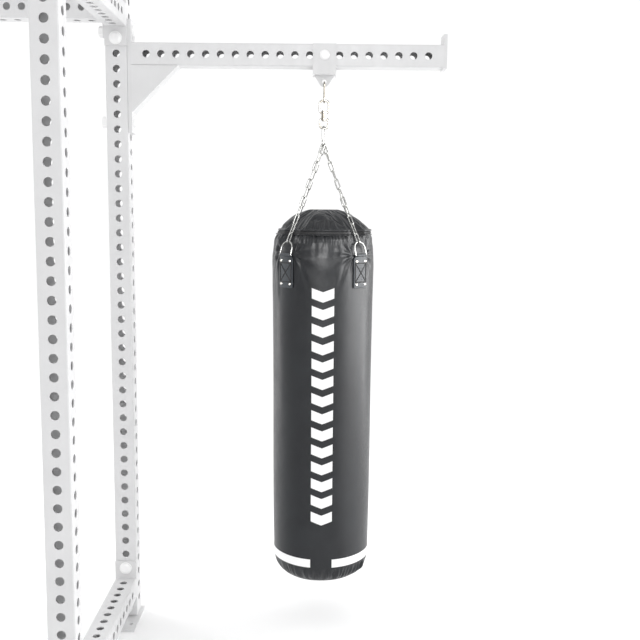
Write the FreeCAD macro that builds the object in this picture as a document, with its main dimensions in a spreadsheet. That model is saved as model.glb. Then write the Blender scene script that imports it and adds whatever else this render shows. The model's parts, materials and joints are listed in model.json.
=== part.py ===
"""Punching bag on a free-standing four-post rack with a cantilever arm. Millimetres, +Z up.

X runs along the arm, Y from the front of the rack to its rear, and the floor is Z = 0. The origin
is the middle of the whole object's box, on the floor.
"""

import FreeCAD, Part
import math
import os

import Sketcher
from FreeCAD import Placement, Rotation, Vector
from types import SimpleNamespace

DRIVING_SIZES = (
    ("tube", 76.2, "side of the square rack tube"),
    ("wall", 3.0, "its wall"),
    ("corner", 5.0, "its outer corner radius"),
    ("bore", 25.4, "diameter of the rack's holes"),
    ("pitch", 50.8, "distance from hole to hole"),
    ("upright_top", 2286.0, "height of the uprights without their caps"),
    ("front_hole", 38.1, "height of the lowest hole along Y"),
    ("side_hole", 63.5, "height of the lowest hole along X"),
    ("depth", 838.2, "front to rear upright, centre to centre"),
    ("span", 1143.0, "left to right upright, centre to centre"),
    ("flange", 6.35, "thickness of a rail's end flange and of a foot plate"),
    ("flange_tall", 203.2, "height of an end flange"),
    ("bolt_rise", 76.2, "bolt above and below the middle of a rail"),
    ("foot_wide", 101.6, "foot plate across X"),
    ("foot_long", 203.2, "foot plate along Y"),
    ("foot_back", 6.35, "foot plate beyond the upright's outer face"),
    ("anchor_bore", 14.3, "diameter of the anchor holes"),
    ("anchor_apart", 60.0, "distance between a foot's anchor holes"),
    ("anchor_in", 70.0, "anchor holes from the upright's inner face"),
    ("low_rail", 114.3, "height of the lower side rails"),
    ("high_rail", 2146.3, "height of the upper side rails"),
    ("beam_rise", 2171.7, "height of the cross beams"),
    ("arm_rise", 2019.3, "height of the arm"),
    ("arm_length", 1066.8, "length of the arm's tube"),
    ("arm_plate", 12.7, "thickness of the arm's plates"),
    ("arm_low_bolt", 1790.7, "height of the arm's lower bolt"),
    ("arm_high_bolt", 2095.5, "height of the arm's upper bolt"),
    ("gusset", 158.75, "leg of the arm's gusset"),
    ("end_plate_tall", 114.3, "height of the arm's end plate"),
    ("hang_hole", 12.0, "number of the arm hole that carries the bracket, from 0"),
    ("shank", 24.0, "diameter of the rack bolts"),
    ("head", 38.0, "diameter of their heads"),
    ("head_tall", 9.0, "height of their heads"),
    ("washer", 3.0, "thickness of a washer"),
    ("washer_ring", 10.0, "width of a washer's ring"),
    ("nut_tall", 16.0, "height of a nut"),
    ("bag_radius", 177.8, "radius of the bag"),
    ("bag_low", 180.0, "height of the bag's base"),
    ("bag_round", 60.0, "radius of the bag's lower edge"),
    ("shoulder", 1335.0, "height where the bag starts to narrow"),
    ("neck", 1387.0, "height where the shoulder ends"),
    ("neck_radius", 166.5, "radius there"),
    ("seam", 1409.5, "height of the zip's lower edge"),
    ("seam_radius", 167.5, "radius there"),
    ("zip_tall", 16.5, "height of the zip that joins the top cover to the bag"),
    ("dome_radius", 165.0, "radius of the top cover's rim"),
    ("dome_top", 1494.0, "height of the top cover"),
    ("skin", 3.0, "thickness of the bag's leather"),
    ("liner", 12.0, "thickness of the foam liner"),
    ("liner_radius", 166.0, "outer radius of the foam liner"),
    ("liner_low", 285.0, "height of the liner's lower edge"),
    ("liner_high", 1300.0, "height of its upper edge"),
    ("tab_low", 1230.0, "height of a strap tab's lower edge"),
    ("tab_wide", 62.0, "width of a strap tab"),
    ("ring_rise", 1342.5, "height of a D-ring's straight bar"),
    ("ring_tall", 47.0, "D-ring's bar to its top, centre lines"),
    ("ring_radius", 26.0, "bend radius of a D-ring"),
    ("ring_wire", 5.0, "wire of a D-ring"),
    ("link_wire", 4.0, "wire of a chain link"),
    ("link_bend", 6.0, "bend radius of a chain link, centre line"),
    ("links", 11.0, "links in a chain"),
    ("swivel_rise", 1776.25, "height of the swivel's lowest wire, centre line"),
)

doc = FreeCAD.newDocument("PunchingBagStand")
sheet = doc.addObject("Spreadsheet::Sheet", "Sizes")


class Size:
    """A number together with the sheet formula that gives it."""

    def __init__(self, value, text):
        self.value = value
        self.text = text

    def __add__(self, other):
        return join(self, other, "+", lambda a, b: a + b)

    def __radd__(self, other):
        return join(other, self, "+", lambda a, b: a + b)

    def __sub__(self, other):
        return join(self, other, "-", lambda a, b: a - b)

    def __rsub__(self, other):
        return join(other, self, "-", lambda a, b: a - b)

    def __mul__(self, other):
        return join(self, other, "*", lambda a, b: a * b)

    def __rmul__(self, other):
        return join(other, self, "*", lambda a, b: a * b)

    def __truediv__(self, other):
        return join(self, other, "/", lambda a, b: a / b)

    def __neg__(self):
        return -1 * self


def sized(number):
    return number if isinstance(number, Size) else Size(number, repr(number))


def join(first, second, sign, work):
    first, second = sized(first), sized(second)
    return Size(work(first.value, second.value), f"({first.text} {sign} {second.text})")


def fill_sheet():
    sizes = SimpleNamespace()
    for row, (alias, value, meaning) in enumerate(DRIVING_SIZES, start=1):
        sheet.set(f"A{row}", meaning)
        sheet.set(f"B{row}", str(value))
        sheet.setAlias(f"B{row}", alias)
        setattr(sizes, alias, Size(value, f"Sizes.{alias}"))
    doc.recompute()
    return sizes


s = fill_sheet()

# Places worked out from the driving sizes.
HALF = s.tube / 2
NUT_SIDE = s.washer + s.nut_tall + s.washer
RIGHT = (s.span + s.foot_wide / 2 - HALF - 2 * s.arm_plate - s.arm_length) / 2
LEFT = RIGHT - s.span
REAR = (s.depth + HALF + NUT_SIDE - s.bag_radius) / 2
FRONT = REAR - s.depth
ARM_START = RIGHT + HALF + s.arm_plate
BAG_X = ARM_START + s.pitch * (1 + s.hang_hole)
ALONG_X = Rotation(Vector(0, 1, 0), 90)
ALONG_Y = Rotation(Vector(1, 0, 0), -90)
AGAINST_Y = Rotation(Vector(1, 0, 0), 90)
AGAINST_X = Rotation(Vector(0, 1, 0), -90)
UPRIGHT_TO_X = Rotation(Vector(1, 1, 1), 120)
CHAIN_CORNERS = {"rear_right": 45, "rear_left": 135, "front_left": 225, "front_right": 315}

nodes = {}


# ---------------------------------------------------------------- document helpers
def bind(thing, **sizes):
    """Bind properties to formulas of the sheet."""
    for name, size in sizes.items():
        thing.setExpression(name, sized(size).text)


def place(thing, x=0.0, y=0.0, z=0.0, turn=Rotation()):
    places = [sized(value) for value in (x, y, z)]
    thing.Placement = Placement(Vector(*[size.value for size in places]), turn)
    for axis, size in zip("xyz", places):
        thing.setExpression(f"Placement.Base.{axis}", size.text)
    return thing


def keep(node, thing):
    """Make an object of the document a sub-part of the model."""
    thing.Label = node
    nodes[node] = thing
    return thing


def box(name, x, y, z):
    """A box from its (low, high) pair on each axis."""
    thing = doc.addObject("Part::Box", name)
    bind(thing, Length=x[1] - x[0], Width=y[1] - y[0], Height=z[1] - z[0])
    return place(thing, x[0], y[0], z[0])


def around(middle, width):
    return middle - width / 2, middle + width / 2


def rod(name, radius, length, x=0.0, y=0.0, z=0.0, turn=Rotation()):
    thing = doc.addObject("Part::Cylinder", name)
    bind(thing, Radius=radius, Height=length)
    return place(thing, x, y, z, turn)


def half_ring(name, bend, wire_radius, x=0.0, y=0.0, z=0.0, turn=Rotation()):
    """Half of a torus, lying in its local XY plane on the +Y side."""
    thing = doc.addObject("Part::Torus", name)
    bind(thing, Radius1=bend, Radius2=wire_radius)
    thing.Angle3 = 180
    return place(thing, x, y, z, turn)


def bundle(name, things):
    thing = doc.addObject("Part::Compound", name)
    thing.Links = list(things)
    return thing


def copy(name, source, x=0.0, y=0.0, z=0.0, turn=Rotation()):
    return place(bundle(name, [source]), x, y, z, turn)


def cut(name, base, *tools):
    thing = doc.addObject("Part::Cut", name)
    thing.Base = base
    thing.Tool = tools[0] if len(tools) == 1 else bundle(f"{name}_tools", tools)
    return thing


def fuse(name, *things):
    thing = doc.addObject("Part::MultiFuse", name)
    thing.Shapes = list(things)
    thing.Refine = True
    return thing


def plane_of(body, role):
    return next(feature for feature in body.Origin.OriginFeatures if feature.Role == role)


def sketch_on(body, role, name):
    sketch = body.newObject("Sketcher::SketchObject", name)
    sketch.AttachmentSupport = [(plane_of(body, role), "")]
    sketch.MapMode = "FlatFace"
    return sketch


def hold(sketch, kind, elements, size):
    """Add a dimension to a sketch and bind it to a size."""
    index = sketch.addConstraint(Sketcher.Constraint(kind, *elements, size.value))
    sketch.setExpression(f"Constraints[{index}]", size.text)


def draw_square(sketch, side):
    first = sketch.GeometryCount
    reach = side.value / 2
    signs = ((-1, -1), (1, -1), (1, 1), (-1, 1))
    corners = [Vector(x * reach, y * reach) for x, y in signs]
    for number in range(4):
        sketch.addGeometry(Part.LineSegment(corners[number], corners[(number + 1) % 4]))
    for number in range(4):
        following = first + (number + 1) % 4
        sketch.addConstraint(Sketcher.Constraint("Coincident", first + number, 2, following, 1))
        kind = "Horizontal" if number % 2 == 0 else "Vertical"
        sketch.addConstraint(Sketcher.Constraint(kind, first + number))
    hold(sketch, "DistanceX", (first, 1, first, 2), side)
    hold(sketch, "DistanceY", (first + 1, 1, first + 1, 2), side)
    sketch.addConstraint(Sketcher.Constraint("Symmetric", first, 1, first + 1, 2, -1, 1))


def draw_outline(sketch, points):
    """A closed outline of straight lines through (x, y) points, each held from the origin."""
    ends = [(sized(x), sized(y)) for x, y in points]
    vectors = [Vector(x.value, y.value) for x, y in ends]
    count = len(ends)
    for number in range(count):
        sketch.addGeometry(Part.LineSegment(vectors[number], vectors[(number + 1) % count]))
    for number in range(count):
        sketch.addConstraint(Sketcher.Constraint("Coincident", number, 2, (number + 1) % count, 1))
    for number, (x, y) in enumerate(ends):
        hold_point(sketch, "DistanceX", -2, number, x)
        hold_point(sketch, "DistanceY", -1, number, y)


def hold_point(sketch, kind, axis, number, size):
    if size.value == 0:
        sketch.addConstraint(Sketcher.Constraint("PointOnObject", number, 1, axis))
    else:
        hold(sketch, kind, (-1, 1, number, 1), size)


def turned(name, points):
    """A solid of revolution about Z from its (radius, height) outline."""
    body = doc.addObject("PartDesign::Body", name)
    sketch = sketch_on(body, "XZ_Plane", f"{name}_section")
    draw_outline(sketch, points)
    turn = body.newObject("PartDesign::Revolution", f"{name}_turn")
    turn.Profile = sketch
    turn.ReferenceAxis = (sketch, ["V_Axis"])
    turn.Angle = 360
    body.Tip = turn
    return body


def drilled_row(body, role, name, first, count):
    """A row of holes through a tube: one pocket, repeated along Z."""
    sketch = sketch_on(body, role, f"{name}_hole")
    circle = sketch.addGeometry(Part.Circle(Vector(0, first.value), Vector(0, 0, 1), s.bore.value / 2))
    sketch.addConstraint(Sketcher.Constraint("PointOnObject", circle, 3, -2))
    hold(sketch, "DistanceY", (-1, 1, circle, 3), first)
    hold(sketch, "Diameter", (circle,), s.bore)
    pocket = body.newObject("PartDesign::Pocket", f"{name}_pocket")
    pocket.Profile = sketch
    pocket.Type = "ThroughAll"
    pocket.SideType = "Symmetric"
    row = body.newObject("PartDesign::LinearPattern", f"{name}_row")
    row.Originals = [pocket]
    row.Direction = (plane_of(body, "Z_Axis"), [""])
    bind(row, Length=s.pitch * (count - 1))
    row.Occurrences = count
    body.Tip = row


def drilled_tube(name, length, rows):
    """A square tube along +Z from the origin; rows are (plane, first hole, number of holes)."""
    body = doc.addObject("PartDesign::Body", name)
    section = sketch_on(body, "XY_Plane", f"{name}_section")
    draw_square(section, s.tube)
    draw_square(section, s.tube - 2 * s.wall)
    pad = body.newObject("PartDesign::Pad", f"{name}_pad")
    pad.Profile = section
    bind(pad, Length=length)
    doc.recompute()
    outer_reach = (s.tube / 2 - s.wall / 2).value
    outer = [
        f"Edge{number}"
        for number, edge in enumerate(pad.Shape.Edges, start=1)
        if edge.BoundBox.ZLength > s.tube.value and abs(edge.CenterOfMass.x) > outer_reach
    ]
    rounding = body.newObject("PartDesign::Fillet", f"{name}_corners")
    rounding.Base = (pad, outer)
    bind(rounding, Radius=s.corner)
    body.Tip = rounding
    for role, first, count in rows:
        drilled_row(body, role, f"{name}_{role[:2].lower()}", first, count)
    return body


# ---------------------------------------------------------------- the rack
def corners_of_rack():
    yield "rear_right", RIGHT, REAR, 1
    yield "rear_left", LEFT, REAR, 1
    yield "front_right", RIGHT, FRONT, -1
    yield "front_left", LEFT, FRONT, -1


def make_uprights():
    holes = 44
    tube = drilled_tube(
        "upright_tube",
        s.upright_top - s.flange,
        (
            ("XZ_Plane", s.front_hole - s.flange, holes),
            ("YZ_Plane", s.side_hole - s.flange, holes),
        ),
    )
    for corner, x, y, _ in corners_of_rack():
        keep(f"upright_{corner}", copy(f"upright_{corner}", tube, x, y, s.flange))


def make_feet():
    for corner, x, y, outward in corners_of_rack():
        outer = y + outward * (HALF + s.foot_back)
        inner = outer - outward * s.foot_long
        ends = (inner, outer) if outward > 0 else (outer, inner)
        plate = box(f"foot_plate_{corner}", around(x, s.foot_wide), ends, (sized(0.0), s.flange))
        anchor_y = y - outward * (HALF + s.anchor_in)
        anchors = [
            rod(f"anchor_{corner}_{side}", s.anchor_bore / 2, s.flange, anchor_x, anchor_y)
            for side, anchor_x in zip(("left", "right"), around(x, s.anchor_apart))
        ]
        keep(f"foot_{corner}", cut(f"foot_{corner}", plate, *anchors))


def make_caps():
    lip, plug_deep, slack = 3.0, 20.0, 0.2
    inside = s.tube - 2 * s.wall - 2 * slack
    caps = []
    for corner, x, y, _ in corners_of_rack():
        lid_z = (s.upright_top, s.upright_top + lip)
        top = box(f"cap_lid_{corner}", around(x, s.tube), around(y, s.tube), lid_z)
        low = s.upright_top - plug_deep
        plug = box(f"cap_plug_{corner}", around(x, inside), around(y, inside), (low, s.upright_top))
        caps.append(fuse(f"cap_{corner}", top, plug))
    keep("upright_caps", bundle("upright_caps", caps))


def bolted_rail(name, length, holes):
    """A tube and its two end flanges, along +Z from the origin, with the flanges tall along Y."""
    tube_length = length - 2 * s.flange
    first = (tube_length - (holes - 1) * s.pitch) / 2
    rows = (("XZ_Plane", first, holes), ("YZ_Plane", first + s.pitch / 2, holes - 1))
    tube = drilled_tube(f"{name}_tube", tube_length, rows)
    plates = []
    for end, low in (("near", sized(0.0)), ("far", length - s.flange)):
        tall = around(sized(0.0), s.flange_tall)
        plate = box(f"{name}_{end}_plate", (-HALF, HALF), tall, (low, low + s.flange))
        bores = [
            rod(f"{name}_{end}_bore_{side}", s.bore / 2, s.flange, 0.0, side * s.bolt_rise, low)
            for side in (-1, 1)
        ]
        plates.append(cut(f"{name}_{end}_flange", plate, *bores))
    return copy(f"{name}_middle", tube, z=s.flange), bundle(f"{name}_ends", plates)


def make_rails():
    """Four side rails and two cross beams; the flanges welded to their ends are a node of their own."""
    flanges = []
    rail, rail_ends = bolted_rail("rail", s.depth - s.tube, 14)
    for side, x in (("right", RIGHT), ("left", LEFT)):
        for level, z in (("lower", s.low_rail), ("upper", s.high_rail)):
            name = f"{level}_side_rail_{side}"
            keep(name, copy(name, rail, x, REAR - HALF, z, AGAINST_Y))
            flanges.append(copy(f"{name}_flanges", rail_ends, x, REAR - HALF, z, AGAINST_Y))
    beam, beam_ends = bolted_rail("beam", s.span - s.tube, 20)
    for name, y in (("rear_cross_beam", REAR), ("front_cross_beam", FRONT)):
        keep(name, copy(name, beam, LEFT + HALF, y, s.beam_rise, UPRIGHT_TO_X))
        flanges.append(copy(f"{name}_flanges", beam_ends, LEFT + HALF, y, s.beam_rise, UPRIGHT_TO_X))
    keep("rail_flanges", bundle("rail_flanges", flanges))


# ---------------------------------------------------------------- bolts
HEAD_CROWN = 0.6
NUT_CORNER = 0.84


def bolt(name, grip, head_radius, washer):
    """A domed bolt along +Z: its clamped face is at Z = 0 and its nut starts at grip + washer."""
    under = -1 * washer
    flat = rod(f"{name}_rim", head_radius, s.head_tall / 2, z=under - s.head_tall / 2)
    dome = doc.addObject("Part::Cone", f"{name}_dome")
    bind(dome, Radius1=head_radius * HEAD_CROWN, Radius2=head_radius, Height=s.head_tall / 2)
    place(dome, z=under - s.head_tall)
    length = grip + 2 * washer + s.nut_tall + s.washer
    shank = rod(f"{name}_shank", s.shank / 2, length, z=under)
    return fuse(name, dome, flat, shank)


def nut(name):
    body = doc.addObject("Part::Prism", f"{name}_hexagon")
    body.Polygon = 6
    bind(body, Circumradius=s.shank * NUT_CORNER, Height=s.nut_tall)
    return cut(name, body, rod(f"{name}_thread", s.shank / 2, s.nut_tall))


def washer_ring(name):
    disc = rod(f"{name}_disc", s.shank / 2 + s.washer_ring, s.washer)
    return cut(name, disc, rod(f"{name}_eye", s.shank / 2, s.washer))


def step(direction, distance):
    """Offsets along X and Y for a distance in a direction."""
    x, y = direction
    return distance * x, distance * y


def bolt_places():
    """Each rack bolt: head-side face, direction and clamped thickness."""
    grip = s.tube + s.flange
    for x in (RIGHT, LEFT):
        for level in (s.low_rail, s.high_rail):
            for side in (-1, 1):
                height = level + side * s.bolt_rise
                yield x, REAR - HALF - s.flange, height, (0, 1), grip
                yield x, FRONT + HALF + s.flange, height, (0, -1), grip
    for y in (REAR, FRONT):
        for side in (-1, 1):
            height = s.beam_rise + side * s.bolt_rise
            yield LEFT - HALF, y, height, (1, 0), grip
            if y is FRONT or side > 0:
                yield RIGHT + HALF, y, height, (-1, 0), grip
    yield ARM_START, REAR, s.arm_high_bolt, (-1, 0), grip + s.arm_plate
    yield ARM_START, REAR, s.arm_low_bolt, (-1, 0), s.tube + s.arm_plate


def make_bolts():
    turns = {(0, 1): ALONG_Y, (0, -1): AGAINST_Y, (1, 0): ALONG_X, (-1, 0): AGAINST_X}
    kinds = {}
    one_nut = nut("rack_nut")
    one_washer = washer_ring("rack_washer")
    bolts, nuts, washers = [], [], []
    for number, (x, y, z, direction, grip) in enumerate(bolt_places()):
        turn = turns[direction]
        if grip.text not in kinds:
            kinds[grip.text] = bolt(f"rack_bolt_{len(kinds)}", grip, s.head / 2, s.washer)
        bolts.append(copy(f"bolt_{number}", kinds[grip.text], x, y, z, turn))
        for place_name, distance, source, group in (
            ("head", -1 * s.washer, one_washer, washers),
            ("nut", grip, one_washer, washers),
            ("thread", grip + s.washer, one_nut, nuts),
        ):
            dx, dy = step(direction, distance)
            group.append(copy(f"{place_name}_{number}", source, x + dx, y + dy, z, turn))
    keep("rack_bolts", bundle("rack_bolts", bolts))
    keep("rack_nuts", bundle("rack_nuts", nuts))
    keep("rack_washers", bundle("rack_washers", washers))


# ---------------------------------------------------------------- the arm
def make_arm():
    holes = 20
    tube = drilled_tube("arm_section", s.arm_length, (("YZ_Plane", s.pitch, holes),))
    keep("arm_tube", copy("arm_tube", tube, ARM_START, REAR, s.arm_rise, UPRIGHT_TO_X))

    width = around(REAR, s.tube)
    plate_x = (ARM_START - s.arm_plate, ARM_START)
    margin = HALF
    plate = box("mount_blank", plate_x, width, (s.arm_low_bolt - margin, s.arm_high_bolt + margin))
    bores = [
        rod(f"mount_bore_{number}", s.bore / 2, s.arm_plate, plate_x[0], REAR, height, ALONG_X)
        for number, height in enumerate((s.arm_low_bolt, s.arm_high_bolt))
    ]
    keep("arm_mount_plate", cut("arm_mount_plate", plate, *bores))

    end_x = (ARM_START + s.arm_length, ARM_START + s.arm_length + s.arm_plate)
    low = s.arm_rise - HALF - s.washer
    keep("arm_end_plate", box("arm_end_plate", end_x, width, (low, low + s.end_plate_tall)))
    keep("arm_gusset", make_gusset())


def make_gusset():
    """A triangular box under the arm, open to the tube and the plate that it is welded to."""
    corner_z = s.arm_rise - HALF
    shell = triangle("gusset_outside", s.gusset, s.tube, ARM_START, corner_z)
    inset = s.wall * (1 + math.sqrt(2))
    hollow = triangle("gusset_inside", s.gusset - inset, s.tube - 2 * s.wall, ARM_START, corner_z)
    return cut("arm_gusset", shell, hollow)


def triangle(name, leg, width, x, z):
    body = doc.addObject("PartDesign::Body", name)
    sketch = sketch_on(body, "XZ_Plane", f"{name}_side")
    draw_outline(sketch, ((0, 0), (leg, 0), (0, -1 * leg)))
    pad = body.newObject("PartDesign::Pad", f"{name}_pad")
    pad.Profile = sketch
    pad.SideType = "Symmetric"
    bind(pad, Length=width)
    body.Tip = pad
    return place(body, x, REAR, z)


# ---------------------------------------------------------------- hanger bracket
BRACKET_LEG = 6.35
BRACKET_WIDE = 80.0
WEB_TOP = 1963.3
WEB_LOW = 1957.0
TONGUE_THICK = 10.0
TONGUE_WIDE = 70.0
TONGUE_HOLE_RISE = 1936.0
TONGUE_HOLE_RADIUS = 8.0
TONGUE_TIP_RADIUS = 18.0
HANGER_HEAD_RADIUS = 17.0


def make_bracket():
    x_range = around(BAG_X, sized(BRACKET_WIDE))
    top = s.arm_rise + HALF
    legs = []
    for name, face, side in (("front", REAR - HALF, -1), ("rear", REAR + HALF, 1)):
        ends = (face - BRACKET_LEG, face) if side < 0 else (face, face + BRACKET_LEG)
        legs.append(box(f"bracket_{name}_leg", x_range, ends, (sized(WEB_LOW), top)))
    web = box(
        "bracket_web",
        x_range,
        (REAR - HALF - BRACKET_LEG, REAR + HALF + BRACKET_LEG),
        (sized(WEB_LOW), sized(WEB_TOP)),
    )
    blank = fuse("bracket_blank", *legs, web, make_tongue())
    grip = s.tube + 2 * BRACKET_LEG
    face_y = REAR - HALF - BRACKET_LEG
    bore = rod("bracket_bore", s.shank / 2, grip, BAG_X, face_y, s.arm_rise, ALONG_Y)
    keep("hanger_bracket", cut("hanger_bracket", blank, bore))

    pin = bolt("hanger_bolt_solid", grip, sized(HANGER_HEAD_RADIUS), sized(0.0))
    keep("hanger_bolt", copy("hanger_bolt", pin, BAG_X, face_y, s.arm_rise, ALONG_Y))
    one_nut = nut("hanger_nut_solid")
    keep("hanger_nut", copy("hanger_nut", one_nut, BAG_X, face_y + grip, s.arm_rise, ALONG_Y))


def make_tongue():
    """A tapered plate that ends in a round tip about the hook's hole."""
    body = doc.addObject("PartDesign::Body", "bracket_tongue")
    sketch = sketch_on(body, "XZ_Plane", "tongue_outline")
    drop = WEB_LOW - TONGUE_HOLE_RISE
    half_top = TONGUE_WIDE / 2
    touch = math.atan2(drop, half_top) - math.acos(TONGUE_TIP_RADIUS / math.hypot(half_top, drop))
    side_x = TONGUE_TIP_RADIUS * math.cos(touch)
    side_z = TONGUE_TIP_RADIUS * math.sin(touch)
    tip = Part.Arc(Vector(-side_x, side_z), Vector(0, -TONGUE_TIP_RADIUS), Vector(side_x, side_z))
    ends = (Vector(side_x, side_z), Vector(half_top, drop), Vector(-half_top, drop), Vector(-side_x, side_z))
    for start, end in zip(ends[:-1], ends[1:]):
        sketch.addGeometry(Part.LineSegment(start, end))
    sketch.addGeometry(tip)
    sketch.addGeometry(Part.Circle(Vector(0, 0), Vector(0, 0, 1), TONGUE_HOLE_RADIUS))
    pad = body.newObject("PartDesign::Pad", "tongue_pad")
    pad.Profile = sketch
    pad.SideType = "Symmetric"
    pad.Length = TONGUE_THICK
    body.Tip = pad
    return place(body, BAG_X, REAR, TONGUE_HOLE_RISE)


# ---------------------------------------------------------------- hook and swivel
HOOK_WIRE = 3.0
HOOK_TOP_BEND = 10.0
HOOK_LOW_BEND = 9.0
HOOK_TOP_RISE = 1923.6
HOOK_LOW_RISE = 1874.5
HOOK_TIP = 6.0
EYE_WIRE = 3.25
EYE_FLAT = 2.0
UPPER_EYE_BEND = 16.0
LOWER_EYE_BEND = 14.25
UPPER_EYE_TOP = 1872.15
UPPER_BOSS = (1821.5, 1833.5)
LOWER_BOSS = (1806.0, 1818.0)
BOSS_RADIUS = 10.0
PIN_RADIUS = 4.0
PIN_SLACK = 0.06
PIN_HEAD = (7.0, 4.5)
SPIN_GAP = 0.2


def swept(path, radius):
    """A round wire along a path of edges in one plane."""
    wire = Part.Wire(path)
    start = wire.Edges[0]
    direction = start.tangentAt(start.FirstParameter)
    circle = Part.Wire(Part.makeCircle(radius, start.valueAt(start.FirstParameter), direction))
    return wire.makePipeShell([circle], True, False)


def line(start, end):
    return Part.LineSegment(start, end).toShape()


def arc(start, middle, end):
    return Part.Arc(start, middle, end).toShape()


def feature(name, shape, x=0.0, y=0.0, z=0.0, turn=Rotation()):
    """A shape as an object; the compound keeps the shape's own placement inside the object's."""
    thing = doc.addObject("Part::Feature", name)
    thing.Shape = Part.makeCompound([shape])
    return place(thing, x, y, z, turn)


def make_hook():
    """An S-hook in the plane across the arm: its upper bend holds the tongue, its lower one the swivel."""
    apart = HOOK_TOP_RISE - HOOK_LOW_RISE
    slope = math.asin((HOOK_TOP_BEND + HOOK_LOW_BEND) / apart)
    across, along = math.cos(slope), math.sin(slope)
    top, low = Vector(0, 0, apart), Vector(0, 0, 0)
    tip = top + Vector(0, HOOK_TOP_BEND, 0)
    leave = top + Vector(0, -across, -along) * HOOK_TOP_BEND
    meet = low + Vector(0, across, along) * HOOK_LOW_BEND
    heel = low + Vector(0, -HOOK_LOW_BEND, 0)
    path = [
        line(tip - Vector(0, 0, HOOK_TIP), tip),
        arc(tip, top + Vector(0, 0, HOOK_TOP_BEND), leave),
        line(leave, meet),
        arc(meet, low - Vector(0, 0, HOOK_LOW_BEND), heel),
        line(heel, heel + Vector(0, 0, HOOK_TIP)),
    ]
    keep("top_hook", feature("top_hook", swept(path, HOOK_WIRE), BAG_X, REAR, HOOK_LOW_RISE))


def eye_path(bend, top, low):
    """A closed loop in the XZ plane, flat for a short way at its top and its base."""
    corner = bend - EYE_FLAT
    slant = corner * math.sqrt(0.5)
    path = []
    for side, start, end in ((1, top, low), (-1, low, top)):
        turn = 1 if start > end else -1
        leg_start, leg_end = start - turn * corner, end + turn * corner
        path += [
            line(Vector(-side * EYE_FLAT, 0, start), Vector(side * EYE_FLAT, 0, start)),
            arc(
                Vector(side * EYE_FLAT, 0, start),
                Vector(side * (EYE_FLAT + slant), 0, leg_start + turn * slant),
                Vector(side * bend, 0, leg_start),
            ),
            line(Vector(side * bend, 0, leg_start), Vector(side * bend, 0, leg_end)),
            arc(
                Vector(side * bend, 0, leg_end),
                Vector(side * (EYE_FLAT + slant), 0, leg_end - turn * slant),
                Vector(side * EYE_FLAT, 0, end),
            ),
        ]
    return path


def eye(name, bend, top, low, boss, pin_radius):
    """A wire eye across X with a drilled boss; top and low are its centre lines."""
    loop = feature(f"{name}_loop", swept(eye_path(bend, top, low), EYE_WIRE), BAG_X, REAR)
    collar = rod(f"{name}_boss", sized(BOSS_RADIUS), boss[1] - boss[0], BAG_X, REAR, boss[0])
    bore = rod(f"{name}_bore", sized(pin_radius), boss[1] - boss[0] + 2, BAG_X, REAR, boss[0] - 1)
    return cut(name, fuse(f"{name}_blank", loop, collar), bore)


def make_swivel():
    upper_middle = sum(UPPER_BOSS) / 2
    lower_middle = sum(LOWER_BOSS) / 2
    upper = (UPPER_EYE_BEND, UPPER_EYE_TOP, upper_middle, UPPER_BOSS, PIN_RADIUS)
    lower = (LOWER_EYE_BEND, lower_middle, s.swivel_rise.value, LOWER_BOSS, PIN_RADIUS + PIN_SLACK)
    keep("swivel_upper_eye", eye("swivel_upper_eye", *upper))
    keep("swivel_lower_eye", eye("swivel_lower_eye", *lower))

    washer_low = LOWER_BOSS[1] + SPIN_GAP
    disc = rod("thrust_disc", sized(BOSS_RADIUS - 1), UPPER_BOSS[0] - washer_low, BAG_X, REAR, washer_low)
    hole = rod("thrust_hole", sized(PIN_RADIUS), UPPER_BOSS[0] - washer_low, BAG_X, REAR, washer_low)
    keep("swivel_thrust_washer", cut("swivel_thrust_washer", disc, hole))

    head_radius, head_tall = PIN_HEAD
    low_head = LOWER_BOSS[0] - SPIN_GAP - head_tall
    shank = rod("pin_shank", sized(PIN_RADIUS), UPPER_BOSS[1] - low_head, BAG_X, REAR, low_head)
    heads = [
        rod("pin_upper_head", sized(head_radius), head_tall, BAG_X, REAR, UPPER_BOSS[1]),
        rod("pin_lower_head", sized(head_radius), head_tall, BAG_X, REAR, low_head),
    ]
    keep("swivel_pin", fuse("swivel_pin", shank, *heads))


# ---------------------------------------------------------------- snap hook
SNAP_AZIMUTH = 72.0
SNAP_WIRE = 3.0
SNAP_TOP_BEND = 17.0
SNAP_LOW_BEND = 14.0
SNAP_LOW_RISE = 1730.0
CONTACT_GAP = 0.3
GATE_PIVOT_UP = 5.0
GATE_END_GAP = 0.4
GATE_HEEL_GAP = 0.4
GATE_TAB_THICK = 2.0
GATE_TAB_RADIUS = 2.6
GATE_SLOT = 2.4
GATE_PIN_RADIUS = 1.2
GATE_PIN_SLACK = 0.06
GATE_PIN_PROUD = 0.4


def snap_frame():
    """Tangent points and gate pivot in the snap hook's plane: X outward, Z up, from its lower bend."""
    top_rise = s.swivel_rise.value + EYE_WIRE + SNAP_WIRE + CONTACT_GAP - SNAP_TOP_BEND
    apart = top_rise - SNAP_LOW_RISE
    lean = (SNAP_TOP_BEND - SNAP_LOW_BEND) / apart
    normal = Vector(math.sqrt(1 - lean**2), 0, -lean)
    top_touch = Vector(0, 0, apart) + normal * SNAP_TOP_BEND
    low_touch = normal * SNAP_LOW_BEND
    up = (top_touch - low_touch).normalize()
    return SimpleNamespace(
        apart=apart,
        top_touch=top_touch,
        low_touch=low_touch,
        up=up,
        normal=normal,
        pivot=low_touch + up * GATE_PIVOT_UP,
        gate_length=(top_touch - low_touch).Length - GATE_PIVOT_UP - GATE_END_GAP,
    )


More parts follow.
